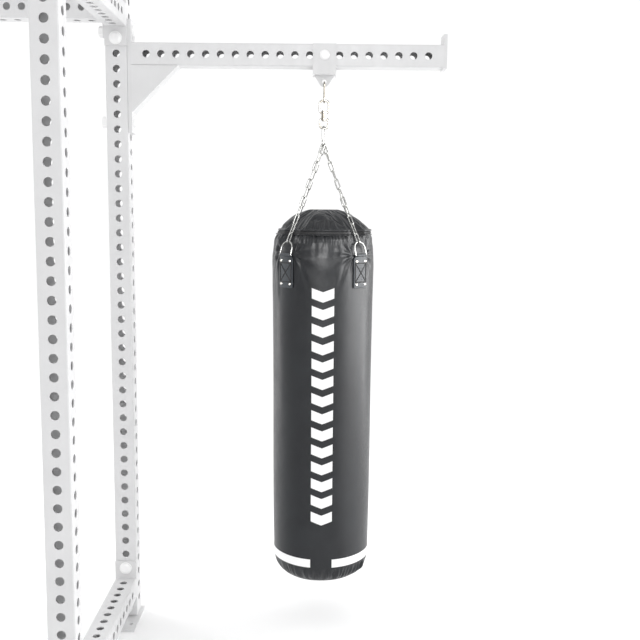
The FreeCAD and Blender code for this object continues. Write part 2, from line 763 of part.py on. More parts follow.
def make_snap_hook():
    """A pear-shaped snap hook; its gate is on the side towards the front of the rack."""
    frame = snap_frame()
    spine = [Vector(-point.x, 0, point.z) for point in (frame.low_touch, frame.top_touch)]
    heel = frame.pivot - frame.up * (SNAP_WIRE + GATE_HEEL_GAP)
    path = [
        line(heel, frame.low_touch),
        arc(frame.low_touch, Vector(0, 0, -SNAP_LOW_BEND), spine[0]),
        line(*spine),
        arc(spine[1], Vector(0, 0, frame.apart + SNAP_TOP_BEND), frame.top_touch),
    ]
    across = Vector(0, 1, 0)
    tab_tall = SNAP_WIRE + GATE_HEEL_GAP + 1
    tab_corner = Vector(-GATE_TAB_RADIUS, -GATE_TAB_THICK / 2, -tab_tall)
    tab = Part.makeBox(2 * GATE_TAB_RADIUS, GATE_TAB_THICK, tab_tall, tab_corner)
    round_end = Part.makeCylinder(GATE_TAB_RADIUS, GATE_TAB_THICK, Vector(0, -GATE_TAB_THICK / 2, 0), across)
    pin_hole = Part.makeCylinder(GATE_PIN_RADIUS, SNAP_WIRE * 2, Vector(0, -SNAP_WIRE, 0), across)
    tab = tab.fuse(round_end)
    leaning = Placement(frame.pivot, Rotation(Vector(0, 0, 1), frame.up))
    tab.Placement = leaning
    pin_hole.Placement = leaning
    body = swept(path, SNAP_WIRE).fuse(tab).cut(pin_hole).removeSplitter()
    where = {"x": BAG_X, "y": REAR, "z": SNAP_LOW_RISE, "turn": Rotation(Vector(0, 0, 1), SNAP_AZIMUTH + 180)}
    keep("snap_hook", feature("snap_hook", body, **where))

    gate = Part.makeCylinder(SNAP_WIRE, frame.gate_length)
    heel_round = Part.makeCylinder(SNAP_WIRE, 2 * SNAP_WIRE, Vector(0, -SNAP_WIRE, 0), across)
    stock = Part.makeCylinder(SNAP_WIRE, frame.gate_length + SNAP_WIRE, Vector(0, 0, -SNAP_WIRE))
    gate = gate.fuse(heel_round.common(stock))
    slot_up = SNAP_WIRE + GATE_HEEL_GAP
    slot_corner = Vector(-2 * SNAP_WIRE, -GATE_SLOT / 2, -slot_up)
    slot = Part.makeBox(4 * SNAP_WIRE, GATE_SLOT, 2 * slot_up, slot_corner)
    turning_hole = Part.makeCylinder(
        GATE_PIN_RADIUS + GATE_PIN_SLACK, SNAP_WIRE * 2, Vector(0, -SNAP_WIRE, 0), across
    )
    gate = gate.cut(slot).cut(turning_hole).removeSplitter()
    gate.Placement = leaning
    keep("snap_gate", feature("snap_gate", gate, **where))

    pin_half = SNAP_WIRE + GATE_PIN_PROUD
    pin = Part.makeCylinder(GATE_PIN_RADIUS, 2 * pin_half, Vector(0, -pin_half, 0), across)
    pin.Placement = leaning
    keep("snap_gate_pin", feature("snap_gate_pin", pin, **where))


# ---------------------------------------------------------------- chains and D-rings
RING_BAR_OUT = 5.4
RING_TOP_RADIUS = 169.5
HOOK_SPREAD = {"rear_right": 40.0, "rear_left": 14.0, "front_right": -14.0, "front_left": -40.0}


def ring_lean():
    """Angle by which a D-ring leans in over the bag's shoulder."""
    bar_radius = s.bag_radius.value + RING_BAR_OUT
    return math.asin((bar_radius - RING_TOP_RADIUS) / s.ring_tall.value)


def make_rings():
    """D-rings: a bend, two legs and a straight bar, leaning in over the shoulder."""
    wire = s.ring_wire / 2
    bend = s.ring_radius
    leg = s.ring_tall - bend
    ring = fuse(
        "d_ring",
        half_ring("ring_bend", bend, wire, z=leg, turn=Rotation(Vector(1, 1, 1), 120)),
        rod("ring_leg_a", wire, leg, y=bend),
        rod("ring_leg_b", wire, leg, y=-1 * bend),
        rod("ring_bar", wire, 2 * bend, y=-1 * bend, turn=ALONG_Y),
        ball("ring_corner_a", wire, bend),
        ball("ring_corner_b", wire, -1 * bend),
    )
    leaning = Rotation(Vector(0, 1, 0), -math.degrees(ring_lean()))
    upright = copy("leaning_ring", ring, s.bag_radius + RING_BAR_OUT, 0.0, s.ring_rise, leaning)
    for corner, azimuth in CHAIN_CORNERS.items():
        keep(f"d_ring_{corner}", copy(f"d_ring_{corner}", upright, BAG_X, REAR, 0.0, about_bag(azimuth)))


def ball(name, radius, y):
    thing = doc.addObject("Part::Sphere", name)
    bind(thing, Radius=radius)
    return place(thing, y=y)


def about_bag(azimuth):
    return Rotation(Vector(0, 0, 1), azimuth)


def chain_ends(corner):
    """Where a chain hangs on the snap hook and on its D-ring, and the wire directions there."""
    azimuth = math.radians(CHAIN_CORNERS[corner])
    plane = math.radians(SNAP_AZIMUTH)
    spread = math.radians(HOOK_SPREAD[corner])
    hook_out = Vector(math.cos(plane), math.sin(plane), 0)
    up = Vector(0, 0, 1)
    towards = hook_out * math.sin(spread) - up * math.cos(spread)
    start = up * SNAP_LOW_RISE + towards * SNAP_LOW_BEND
    hook_wire = hook_out * math.cos(spread) + up * math.sin(spread)
    outward = Vector(math.cos(azimuth), math.sin(azimuth), 0)
    end = outward * RING_TOP_RADIUS + up * (s.ring_rise.value + s.ring_tall.value * math.cos(ring_lean()))
    ring_wire = Vector(-math.sin(azimuth), math.cos(azimuth), 0)
    return start, end, hook_wire, ring_wire


def link_shape(inner_length):
    """One link: two half rings and two straight sides, long along Z and wide along X."""
    wire, bend = s.link_wire.value / 2, s.link_bend.value
    straight = inner_length + 2 * wire - 2 * bend
    half = straight / 2
    top, low = Vector(0, 0, half + bend), Vector(0, 0, -half - bend)
    right_top, right_low = Vector(bend, 0, half), Vector(bend, 0, -half)
    left_top, left_low = Vector(-bend, 0, half), Vector(-bend, 0, -half)
    path = [
        line(right_low, right_top),
        arc(right_top, top, left_top),
        line(left_top, left_low),
        arc(left_low, low, right_low),
    ]
    return swept(path, wire)


def signed_turn(first, second, axis):
    """Angle from one direction to another about an axis, in degrees."""
    return math.degrees(math.atan2(axis.dot(first.cross(second)), first.dot(second)))


def make_chains():
    """Four chains of interlocked links, turned a quarter from link to link."""
    count = int(s.links.value)
    at_hook = SNAP_WIRE + CONTACT_GAP
    at_ring = s.ring_wire.value / 2 + CONTACT_GAP
    play = 0.4
    lengths = [(chain_ends(corner)[1] - chain_ends(corner)[0]).Length for corner in CHAIN_CORNERS]
    inner = (max(lengths) + at_hook + at_ring + play * (count - 1)) / count
    link = link_shape(inner)
    for corner in CHAIN_CORNERS:
        start, end, hook_wire, ring_wire = chain_ends(corner)
        along = (end - start).normalize()
        pitch = ((end - start).Length + at_hook + at_ring - inner) / (count - 1)
        first = (hook_wire - along * hook_wire.dot(along)).normalize()
        twist = signed_turn(first, ring_wire, along)
        twist -= 180 * round(twist / 180)
        links = []
        for number in range(count):
            middle = start + along * (inner / 2 - at_hook + number * pitch)
            roll = Rotation(along, number * (90 + twist / (count - 1)))
            normal = roll.multVec(first)
            turn = Rotation(normal.cross(along), normal, along, "ZXY")
            one = link.copy()
            one.Placement = Placement(middle, turn)
            links.append(one)
        name = f"chain_{corner}"
        keep(name, feature(name, Part.makeCompound(links), BAG_X, REAR))


# ---------------------------------------------------------------- strap tabs and rivets
TAB_THICK = 5.2
TAB_CURVE = 5.0
BAR_PLAY = 0.35
BAR_CLEAR = 3.0
LOOP_LONG = 44.0
LOOP_THICK = 2.4
RIVET_HEAD = (4.5, 2.4)
RIVET_CROWN = 0.55
RIVET_SHANK = 2.0
RIVET_HEIGHTS = (1243.0, 1322.0)
RIVET_ASIDE = 21.0


def rivet_places():
    """Offset across the tab and height of each of a tab's rivets."""
    for height in RIVET_HEIGHTS:
        for side in (-1, 1):
            yield side * RIVET_ASIDE, height


def make_tabs():
    """A folded strap on the bag: a plate that follows the bag and a loop that holds the D-ring's bar."""
    face = s.bag_radius + TAB_THICK
    bar = s.bag_radius + RING_BAR_OUT
    inner = s.ring_wire / 2 + BAR_PLAY
    tall = (s.tab_low, s.ring_rise - BAR_CLEAR)
    blank = box("tab_blank", (s.bag_radius - TAB_CURVE, face), around(sized(0.0), s.tab_wide), tall)
    plate = cut("tab_plate", blank, rod("tab_back", s.bag_radius, s.ring_rise))
    loop_at = {"x": bar, "y": sized(-LOOP_LONG / 2), "z": s.ring_rise, "turn": ALONG_Y}
    loop = rod("tab_loop", inner + LOOP_THICK, sized(LOOP_LONG), **loop_at)
    hollow_at = {"x": bar, "y": s.tab_wide / -2, "z": s.ring_rise, "turn": ALONG_Y}
    hollow = rod("tab_hollow", inner, s.tab_wide, **hollow_at)
    holes = [
        rod(f"tab_hole_{number}", sized(RIVET_SHANK), 20.0, s.bag_radius - 10, aside, height, ALONG_X)
        for number, (aside, height) in enumerate(rivet_places())
    ]
    tab = cut("strap_tab", fuse("tab_whole", plate, loop), hollow, *holes)
    rivets = []
    for number, (aside, height) in enumerate(rivet_places()):
        head = doc.addObject("Part::Cone", f"rivet_head_{number}")
        head_radius, head_tall = RIVET_HEAD
        bind(head, Radius1=head_radius, Radius2=head_radius * RIVET_CROWN, Height=head_tall)
        place(head, face, aside, height, ALONG_X)
        start = s.bag_radius - s.skin
        shank_long = face - start
        shank = rod(f"rivet_shank_{number}", sized(RIVET_SHANK), shank_long, start, aside, height, ALONG_X)
        rivets.append(fuse(f"rivet_{number}", head, shank))
    set_of_rivets = bundle("tab_rivet_set", rivets)
    placed = []
    for corner, azimuth in CHAIN_CORNERS.items():
        keep(f"strap_tab_{corner}", copy(f"strap_tab_{corner}", tab, BAG_X, REAR, 0.0, about_bag(azimuth)))
        placed.append(copy(f"rivets_{corner}", set_of_rivets, BAG_X, REAR, 0.0, about_bag(azimuth)))
    keep("tab_rivets", bundle("tab_rivets", placed))
    return [
        copy(f"punch_{corner}", bundle(f"punch_set_{corner}", holes), turn=about_bag(azimuth))
        for corner, azimuth in CHAIN_CORNERS.items()
    ]


# ---------------------------------------------------------------- the bag
ROUND_STEPS = 6
CUT_REACH = 20.0
ZIP_PROUD = 1.0
CHAIN_GROOVE = 10.0
GROOVE_LONG = 150.0
FILL_GAP = 6.0
FILL_CLEAR = 4.0
FILL_SLOPE = 55.0
FILL_SHOULDER = 32.0
FILL_HEADROOM = 25.0


def round_edge(inset):
    """The lower edge as (radius, height) points on a quarter circle, from the base outwards."""
    points = []
    for number in range(ROUND_STEPS + 1):
        angle = math.pi / 2 * number / ROUND_STEPS
        out, down = (s.bag_round - inset) * math.sin(angle), (s.bag_round - inset) * math.cos(angle)
        points.append((s.bag_radius - s.bag_round + out, s.bag_low + s.bag_round - down))
    return points


def side_above(inset):
    """The side from the shoulder up to the rim of the top cover."""
    rim = s.seam + s.zip_tall
    return [
        (s.bag_radius - inset, s.shoulder),
        (s.neck_radius - inset, s.neck),
        (s.seam_radius - inset, s.seam),
        (s.seam_radius + ZIP_PROUD - inset, s.seam),
        (s.seam_radius + ZIP_PROUD - inset, rim),
    ]


def dome(inset):
    """Points of the top cover from its rim to its middle, on one arc of a circle."""
    rim_height = s.seam + s.zip_tall
    rise = (s.dome_top - rim_height).value
    reach = s.dome_radius.value
    bend = (reach**2 + rise**2) / (2 * rise)
    whole = math.asin(reach / bend)
    points = []
    for number in range(ROUND_STEPS + 1):
        angle = whole * (1 - number / ROUND_STEPS)
        share_out = bend * math.sin(angle) / reach
        share_up = (bend * math.cos(angle) - (bend - rise)) / rise
        height = rim_height + (s.dome_top - inset - rim_height) * share_up
        points.append(((s.dome_radius - inset) * share_out, height))
    return points


def chain_grooves(name, radius):
    """Round-ended rods along the chains, where they press into the shoulder and the top cover."""
    rods = []
    for corner in CHAIN_CORNERS:
        hook_end, ring_end, _, _ = chain_ends(corner)
        turn = Rotation(Vector(0, 0, 1), hook_end - ring_end)
        rods.append(rod(f"{name}_{corner}", sized(radius), sized(GROOVE_LONG), *ring_end, turn))
        tip = doc.addObject("Part::Sphere", f"{name}_tip_{corner}")
        bind(tip, Radius=sized(radius))
        rods.append(place(tip, *ring_end))
    return rods


def slab(name, skin, low, high):
    """The part of the skin between two heights."""
    reach = s.bag_radius + CUT_REACH
    block = box(f"{name}_block", (-1 * reach, reach), (-1 * reach, reach), (low, high))
    piece = doc.addObject("Part::Common", f"{name}_piece")
    piece.Base = skin
    piece.Tool = block
    return piece


def make_bag(punches):
    rim = s.seam + s.zip_tall
    floor = (sized(0.0), s.bag_low)
    base_radius = s.bag_radius - s.bag_round
    outside = turned("skin_outside", [floor] + round_edge(0.0) + side_above(0.0) + dome(0.0))
    base = [floor, (base_radius, s.bag_low)]
    inside = turned("skin_inside", base + round_edge(s.skin) + side_above(s.skin) + dome(s.skin))
    pressed_outside = cut("pressed_outside", outside, *chain_grooves("outer_groove", CHAIN_GROOVE))
    inner_grooves = chain_grooves("inner_groove", CHAIN_GROOVE + s.skin.value)
    pressed_inside = cut("pressed_inside", inside, *inner_grooves)
    skin = cut("skin", pressed_outside, pressed_inside)

    shell = cut("bag_shell_punched", slab("bag_shell", skin, s.bag_low - 1, s.seam), *punches)
    keep("bag_shell", copy("bag_shell", shell, BAG_X, REAR))
    keep("zip_band", copy("zip_band", slab("zip_band", skin, s.seam, rim), BAG_X, REAR))
    keep("top_cover", copy("top_cover", slab("top_cover", skin, rim, s.dome_top + 1), BAG_X, REAR))
    keep("bag_base", rod("bag_base", base_radius, s.skin, BAG_X, REAR, s.bag_low))

    liner_tall = s.liner_high - s.liner_low
    outer_liner = rod("liner_outer", s.liner_radius, liner_tall, BAG_X, REAR, s.liner_low)
    core = s.liner_radius - s.liner
    inner_liner = rod("liner_inner", core, liner_tall, BAG_X, REAR, s.liner_low)
    keep("foam_liner", cut("foam_liner", outer_liner, inner_liner))

    fill = [
        (sized(0.0), s.bag_low + FILL_GAP),
        (core - FILL_SLOPE, s.bag_low + FILL_GAP),
        (core, s.liner_low),
        (core, s.liner_high),
        (core - FILL_SHOULDER, s.neck),
        (core - FILL_SLOPE, rim),
        (sized(0.0), s.dome_top - FILL_HEADROOM),
    ]
    grooves = chain_grooves("fill_groove", CHAIN_GROOVE + FILL_CLEAR)
    packed = cut("packed_filling", turned("filling_blank", fill), *grooves)
    keep("textile_filling", copy("textile_filling", packed, BAG_X, REAR))


# ---------------------------------------------------------------- zip slider
SLIDER_GAP = 0.9
SLIDER_THICK = 3.0
SLIDER_WIDE = 8.0
SLIDER_TALL = 9.0
EAR_THICK = 1.1
EAR_REACH = 3.6
EAR_TALL = 4.0
EAR_CLEAR = 0.2
PULL_PIN_OUT = 2.5
PULL_PIN = 0.9
PULL_PIN_SLACK = 0.05
PULL_WIDE = 4.0
PULL_EYE = 2.1
PULL_LONG = 24.0
PULL_THICK = 1.6


def make_zip_slider():
    """The slider on the zip at the bag's rear, and its pull, which hangs from it."""
    middle_z = s.seam + s.zip_tall / 2
    inner = REAR + s.seam_radius + ZIP_PROUD + SLIDER_GAP
    face = inner + SLIDER_THICK
    pin_y = face + PULL_PIN_OUT
    block = (inner, face)
    body = box("slider_body", around(BAG_X, sized(SLIDER_WIDE)), block, around(middle_z, sized(SLIDER_TALL)))
    ears = []
    for side in (-1, 1):
        middle = BAG_X + side * (PULL_WIDE / 2 + EAR_CLEAR + EAR_THICK / 2)
        ear_x = around(middle, sized(EAR_THICK))
        ear_z = around(middle_z, sized(EAR_TALL))
        ears.append(box(f"slider_ear_{side}", ear_x, (face, face + EAR_REACH), ear_z))
    pin_long = PULL_WIDE + 2 * (EAR_CLEAR + EAR_THICK)
    pin = rod("slider_pin", sized(PULL_PIN), sized(pin_long), BAG_X - pin_long / 2, pin_y, middle_z, ALONG_X)
    keep("zip_slider", fuse("zip_slider", body, *ears, pin))

    eye_outer = rod("pull_eye", sized(PULL_EYE), sized(PULL_WIDE), -PULL_WIDE / 2, turn=ALONG_X)
    blade = box(
        "pull_blade",
        around(sized(0.0), sized(PULL_WIDE)),
        (sized(-PULL_THICK / 2), sized(PULL_THICK / 2)),
        (sized(-PULL_LONG), sized(-PULL_PIN - PULL_PIN_SLACK)),
    )
    hole_radius = sized(PULL_PIN + PULL_PIN_SLACK)
    eye_hole = rod("pull_hole", hole_radius, sized(PULL_WIDE), -PULL_WIDE / 2, turn=ALONG_X)
    pull = cut("zip_pull_flat", fuse("pull_blank", eye_outer, blade), eye_hole)
    keep("zip_pull", copy("zip_pull", pull, BAG_X, pin_y, middle_z))


# ---------------------------------------------------------------- print
PRINT_THICK = 0.4
STRIPE = (240.0, 270.0)
STRIPE_GAP = 78.0
MARK_LOW = 402.0
MARK_HIGH = 1244.0
MARK_WIDE = 76.0
MARK_COUNT = 14
MARK_SHARE = 0.82
MARK_POINT = 14.0


def print_tube(name, low, high):
    outer = rod(f"{name}_outer", s.bag_radius + PRINT_THICK, high - low, BAG_X, REAR, low)
    inner = rod(f"{name}_inner", s.bag_radius, high - low, BAG_X, REAR, low)
    return cut(f"{name}_tube", outer, inner)


def make_print():
    """A white stripe near the base, open at the front and rear, and a column of white chevrons."""
    low, high = STRIPE
    reach = s.bag_radius + CUT_REACH
    gap_x = around(BAG_X, sized(STRIPE_GAP))
    gap = box("stripe_gap", gap_x, (REAR - reach, REAR + reach), (sized(low - 1), sized(high + 1)))
    keep("white_stripes", cut("white_stripes", print_tube("stripe", low, high), gap))

    pitch = (MARK_HIGH - MARK_LOW) / MARK_COUNT
    tall = pitch * MARK_SHARE - MARK_POINT
    half = MARK_WIDE / 2
    chevron = (
        (-half, MARK_POINT),
        (0, 0),
        (half, MARK_POINT),
        (half, MARK_POINT + tall),
        (0, tall),
        (-half, MARK_POINT + tall),
    )
    body = doc.addObject("PartDesign::Body", "chevron")
    sketch = sketch_on(body, "XZ_Plane", "chevron_outline")
    draw_outline(sketch, chevron)
    pad = body.newObject("PartDesign::Pad", "chevron_pad")
    pad.Profile = sketch
    bind(pad, Length=reach)
    body.Tip = pad
    stencils = [
        copy(f"chevron_{number}", body, BAG_X, REAR, MARK_LOW + number * pitch)
        for number in range(MARK_COUNT)
    ]
    mark = doc.addObject("Part::Common", "chevron_mark")
    mark.Base = print_tube("mark", MARK_LOW - 1, MARK_HIGH + 1)
    mark.Tool = bundle("chevron_stencil", stencils)
    keep("chevron_mark", mark)


# ---------------------------------------------------------------- check and write
def check_document():
    for thing in doc.Objects:
        if {"Invalid", "Error"} & set(thing.State):
            raise SystemExit(f"{thing.Name} failed: {thing.State}")
    for node, thing in nodes.items():
        if thing.Shape.isNull() or not thing.Shape.isValid() or not thing.Shape.Solids:
            raise SystemExit(f"{node} has no valid solid")


def write_parts():
    os.makedirs("parts", exist_ok=True)
    for node, thing in nodes.items():
        solids = thing.Shape.Solids
        shape = solids[0] if len(solids) == 1 else Part.makeCompound(solids)
        shape.exportStep(os.path.join("parts", f"{node}.step"))


make_uprights()
make_feet()
make_caps()
make_rails()
make_bolts()
make_arm()
make_bracket()
make_hook()
make_swivel()
make_snap_hook()
make_rings()
make_chains()
make_bag(make_tabs())
make_zip_slider()
make_print()
doc.recompute()
check_document()
write_parts()
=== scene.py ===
"""Looks of the punching bag on its rack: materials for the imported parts, and the soft bag in leather."""

import json
import math

import bpy
import numpy as np
from mathutils import Matrix, Vector


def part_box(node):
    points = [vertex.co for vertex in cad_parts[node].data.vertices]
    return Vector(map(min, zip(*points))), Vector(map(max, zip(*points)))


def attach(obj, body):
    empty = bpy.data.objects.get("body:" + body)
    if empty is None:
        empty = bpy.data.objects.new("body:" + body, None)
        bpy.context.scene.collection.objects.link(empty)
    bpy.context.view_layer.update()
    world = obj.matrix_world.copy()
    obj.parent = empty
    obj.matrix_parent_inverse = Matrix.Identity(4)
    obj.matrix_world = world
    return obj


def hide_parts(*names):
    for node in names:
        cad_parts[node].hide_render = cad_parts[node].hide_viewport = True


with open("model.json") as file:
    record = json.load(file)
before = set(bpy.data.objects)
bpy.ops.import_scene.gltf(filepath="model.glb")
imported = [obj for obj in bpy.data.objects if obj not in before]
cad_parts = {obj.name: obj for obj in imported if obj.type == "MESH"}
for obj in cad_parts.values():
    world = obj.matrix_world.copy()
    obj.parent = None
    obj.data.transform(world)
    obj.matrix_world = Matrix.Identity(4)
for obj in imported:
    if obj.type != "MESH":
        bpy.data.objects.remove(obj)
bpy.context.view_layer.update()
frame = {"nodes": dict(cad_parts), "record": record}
nodes = frame["nodes"]
TAU = 2 * math.pi

# ------------------------------------------------------------------ places taken from the frame
shell_low, shell_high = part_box("bag_shell")
zip_low, zip_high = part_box("zip_band")
cover_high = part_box("top_cover")[1]
hook_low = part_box("snap_hook")[0]
tab_low, tab_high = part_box("strap_tab_front_right")
ring_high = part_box("d_ring_front_right")[1]
stripe_low, stripe_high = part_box("white_stripes")
mark_low, mark_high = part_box("chevron_mark")

BAG_X = (shell_low[0] + shell_high[0]) / 2
BAG_Y = (shell_low[1] + shell_high[1]) / 2
BAG_RADIUS = (shell_high[0] - shell_low[0]) / 2
BAG_BASE = shell_low[2]
SEAM = zip_low[2]
RIM = zip_high[2]
DOME_TOP = cover_high[2]
CHAIN_CORNERS = ("rear_right", "rear_left", "front_left", "front_right")
CHAIN_AZIMUTHS = [math.radians(angle) for angle in (45, 135, 225, 315)]
CHAIN_FOOT = (0.1695, ring_high[2] - 0.0025)
CHAIN_HEAD = (0.006, hook_low[2] + 0.008)
CHAIN_ROOM = 0.0098
CHAIN_SIDE = 1.2


# ------------------------------------------------------------------ small helpers
def smooth(value, start, end):
    """0 before start, 1 after end, and a smooth turn between them."""
    share = np.clip((value - start) / (end - start), 0.0, 1.0)
    return share * share * (3 - 2 * share)


def ripples(seed, angle, height, around, up, count=7):
    """Irregular ripples, from about -1 to 1, that close on themselves round the bag."""
    dice = np.random.RandomState(seed)
    total = np.zeros(np.broadcast(angle, height).shape)
    for _ in range(count):
        turns = dice.randint(around[0], around[1] + 1)
        rise = dice.uniform(up[0], up[1]) * dice.choice([-1, 1])
        total += np.sin(turns * angle + rise * height + dice.uniform(0, TAU))
    return total / math.sqrt(count)


def link(name, data):
    thing = bpy.data.objects.new(name, data)
    bpy.context.scene.collection.objects.link(thing)
    return thing


def mesh_piece(name, vertices, faces, material, shade_smooth=True):
    mesh = bpy.data.meshes.new(name)
    mesh.from_pydata([tuple(point) for point in vertices], [], faces)
    mesh.validate()
    mesh.polygons.foreach_set("use_smooth", [shade_smooth] * len(mesh.polygons))
    mesh.materials.append(material)
    mesh.update()
    return link(name, mesh)


def grid_faces(rows, columns, closed, closed_rows=False):
    """Quads of a grid of points, rows first; a closed grid joins its last column, or row, to its first."""
    last_row = rows if closed_rows else rows - 1
    last_column = columns if closed else columns - 1
    row, column = np.meshgrid(np.arange(last_row), np.arange(last_column), indexing="ij")
    above = (row + 1) % rows * columns
    after = (column + 1) % columns
    here = row * columns
    corners = [here + column, here + after, above + after, above + column]
    return np.stack([corner.ravel() for corner in corners], axis=1).tolist()


def around_bag(angle, radius, height):
    """Points from an azimuth, a radius and a height about the bag's axis."""
    return np.stack(
        [BAG_X + radius * np.cos(angle), BAG_Y + radius * np.sin(angle), height + 0 * radius], axis=-1
    ).reshape(-1, 3)


def bag_point(angle, radius, height):
    """One point from an azimuth, a radius and a height about the bag's axis."""
    return (BAG_X + radius * math.cos(angle), BAG_Y + radius * math.sin(angle), height)


def own(piece, body, slot, *stands_for):
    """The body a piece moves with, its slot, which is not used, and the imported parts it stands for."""
    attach(piece, body)
    if stands_for:
        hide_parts(*stands_for)


def thicken(piece, thickness, offset=0.0):
    """Give a surface a thickness; offset 0 puts half of it on each side, and -1 all of it inside."""
    thick = piece.modifiers.new("thickness", "SOLIDIFY")
    thick.thickness = thickness
    thick.offset = offset


def apply_modifiers(piece):
    """Bake a piece's modifiers into its mesh."""
    bpy.context.view_layer.update()
    graph = bpy.context.evaluated_depsgraph_get()
    mesh = bpy.data.meshes.new_from_object(piece.evaluated_get(graph))
    piece.modifiers.clear()
    piece.data = mesh


# ------------------------------------------------------------------ materials
class Material:
    """A Principled material with helpers for its procedural detail."""

    def __init__(self, name, roughness, metallic=0.0, **sockets):
        self.material = bpy.data.materials.new(name)
        self.material.use_nodes = True
        self.tree = self.material.node_tree
        self.shader = self.tree.nodes["Principled BSDF"]
        self.shader.inputs["Roughness"].default_value = roughness
        self.shader.inputs["Metallic"].default_value = metallic
        for socket, value in sockets.items():
            self.shader.inputs[socket.replace("_", " ")].default_value = value
        self.place = self.node("ShaderNodeTexCoord").outputs["Object"]

    def node(self, kind, **inputs):
        node = self.tree.nodes.new(kind)
        for name, value in inputs.items():
            self.feed(node.inputs[name.replace("_", " ")], value)
        return node

    def feed(self, socket, value):
        if isinstance(value, bpy.types.NodeSocket):
            self.tree.links.new(value, socket)
        else:
            socket.default_value = value

    def noise(self, scale, detail=3.0, stretch=(1, 1, 1), roughness=0.5):
        place = self.node("ShaderNodeMapping", Vector=self.place, Scale=stretch).outputs["Vector"]
        cloud = self.node("ShaderNodeTexNoise", Vector=place, Scale=scale, Detail=detail, Roughness=roughness)
        return cloud.outputs["Fac"]

    def cells(self, scale, feature="F1"):
        place = self.node("ShaderNodeMapping", Vector=self.place, Scale=(1, 1, 1)).outputs["Vector"]
        node = self.node("ShaderNodeTexVoronoi", Vector=place, Scale=scale)
        node.feature = feature
        return node.outputs["Distance"]

    def remap(self, value, low, high, to_low=0.0, to_high=1.0):
        node = self.node("ShaderNodeMapRange", Value=value)
        for name, number in (("From Min", low), ("From Max", high), ("To Min", to_low), ("To Max", to_high)):
            node.inputs[name].default_value = number
        return node.outputs["Result"]

    def math(self, operation, first, second):
        node = self.node("ShaderNodeMath")
        node.operation = operation
        self.feed(node.inputs[0], first)
        self.feed(node.inputs[1], second)
        return node.outputs[0]

    def colour(self, share, first, second):
        """The base colour, mixed from two tones by a share."""
        node = self.node("ShaderNodeMix")
        node.data_type = "RGBA"
        self.feed(node.inputs["Factor"], share)
        node.inputs["A"].default_value = (*first, 1.0)
        node.inputs["B"].default_value = (*second, 1.0)
        self.feed(self.shader.inputs["Base Color"], node.outputs["Result"])

    def roughness(self, value, low, high):
        self.feed(self.shader.inputs["Roughness"], self.remap(value, 0.3, 0.7, low, high))

    def bump(self, *layers):
        """Bump layers of (height, distance in metres, strength), the coarsest first."""
        normal = None
        for height, distance, strength in layers:
            node = self.node("ShaderNodeBump", Height=height, Distance=distance, Strength=strength)
            if normal is not None:
                self.feed(node.inputs["Normal"], normal)
            normal = node.outputs["Normal"]
        self.feed(self.shader.inputs["Normal"], normal)


def powder_coat(name, light, dark, roughness=0.42):
    """Powder coat: fine orange peel, faint clouds of tone and a little dust in the finish."""
    coat = Material(name, roughness, Specular_IOR_Level=0.16, Coat_Weight=0.04, Coat_Roughness=0.35)
    clouds = coat.noise(6.0, 4.0)
    scuffs = coat.noise(38.0, 6.0, stretch=(1, 1, 0.25), roughness=0.7)
    tone = coat.math("ADD", coat.math("MULTIPLY", clouds, 0.7), coat.math("MULTIPLY", scuffs, 0.3))
    coat.colour(coat.remap(tone, 0.35, 0.65), light, dark)
    coat.roughness(scuffs, roughness - 0.06, roughness + 0.1)
    orange_peel, dust = coat.noise(420.0, 2.0), coat.noise(1400.0, 2.0)
    coat.bump((orange_peel, 0.00025, 0.35), (dust, 0.00008, 0.3))
    return coat.material


def plated_metal(name, light, dark, roughness, grain=900.0):
    """Plated steel: tone and gloss drift along the piece, with fine plating grain and small dull spots."""
    metal = Material(name, roughness, metallic=1.0)
    drift = metal.noise(60.0, 5.0, roughness=0.6)
    spots = metal.cells(210.0)
    tone = metal.math("ADD", metal.math("MULTIPLY", drift, 0.75), metal.math("MULTIPLY", spots, 0.35))
    metal.colour(metal.remap(tone, 0.3, 0.75), light, dark)
    metal.roughness(drift, roughness - 0.08, roughness + 0.12)
    metal.bump((metal.noise(grain, 3.0), 0.00006, 0.3))
    return metal.material


def leather(name, light, dark, roughness, grain=620.0, depth=0.00022):
    """Pressed leather: fine cells with creases between them, faint clouds and soft handling marks."""
    hide = Material(name, roughness, Specular_IOR_Level=0.34, Coat_Weight=0.05, Coat_Roughness=0.25)
    clouds = hide.noise(7.0, 5.0, roughness=0.6)
    pores = hide.cells(grain)
    creases = hide.cells(grain * 0.45, "DISTANCE_TO_EDGE")
    marks = hide.noise(26.0, 6.0, stretch=(1, 1, 0.4), roughness=0.7)
    hide.colour(hide.remap(clouds, 0.35, 0.65), light, dark)
    hide.roughness(marks, roughness - 0.05, roughness + 0.09)
    hide.bump(
        (hide.noise(30.0, 3.0), 0.0012, 0.35),
        (hide.remap(creases, 0.0, 0.12), depth, 0.5),
        (pores, depth * 0.6, 0.4),
    )
    return hide.material


def woven(name, light, dark, threads=900.0):
    """Plain weave: two crossing sets of threads."""
    cloth = Material(name, 0.85, Sheen_Weight=0.15)
    axes = cloth.node("ShaderNodeSeparateXYZ", Vector=cloth.place)
    across = cloth.math("SINE", cloth.math("MULTIPLY", axes.outputs["X"], threads * 6), 0.0)
    along = cloth.math("SINE", cloth.math("MULTIPLY", axes.outputs["Z"], threads * 6), 0.0)
    weave = cloth.math("MULTIPLY", across, along)
    cloth.colour(cloth.math("ADD", cloth.math("MULTIPLY", weave, 0.2), cloth.noise(45.0, 4.0)), light, dark)
    cloth.bump((weave, 0.0002, 0.6), (cloth.noise(300.0, 3.0), 0.0002, 0.4))
    return cloth.material


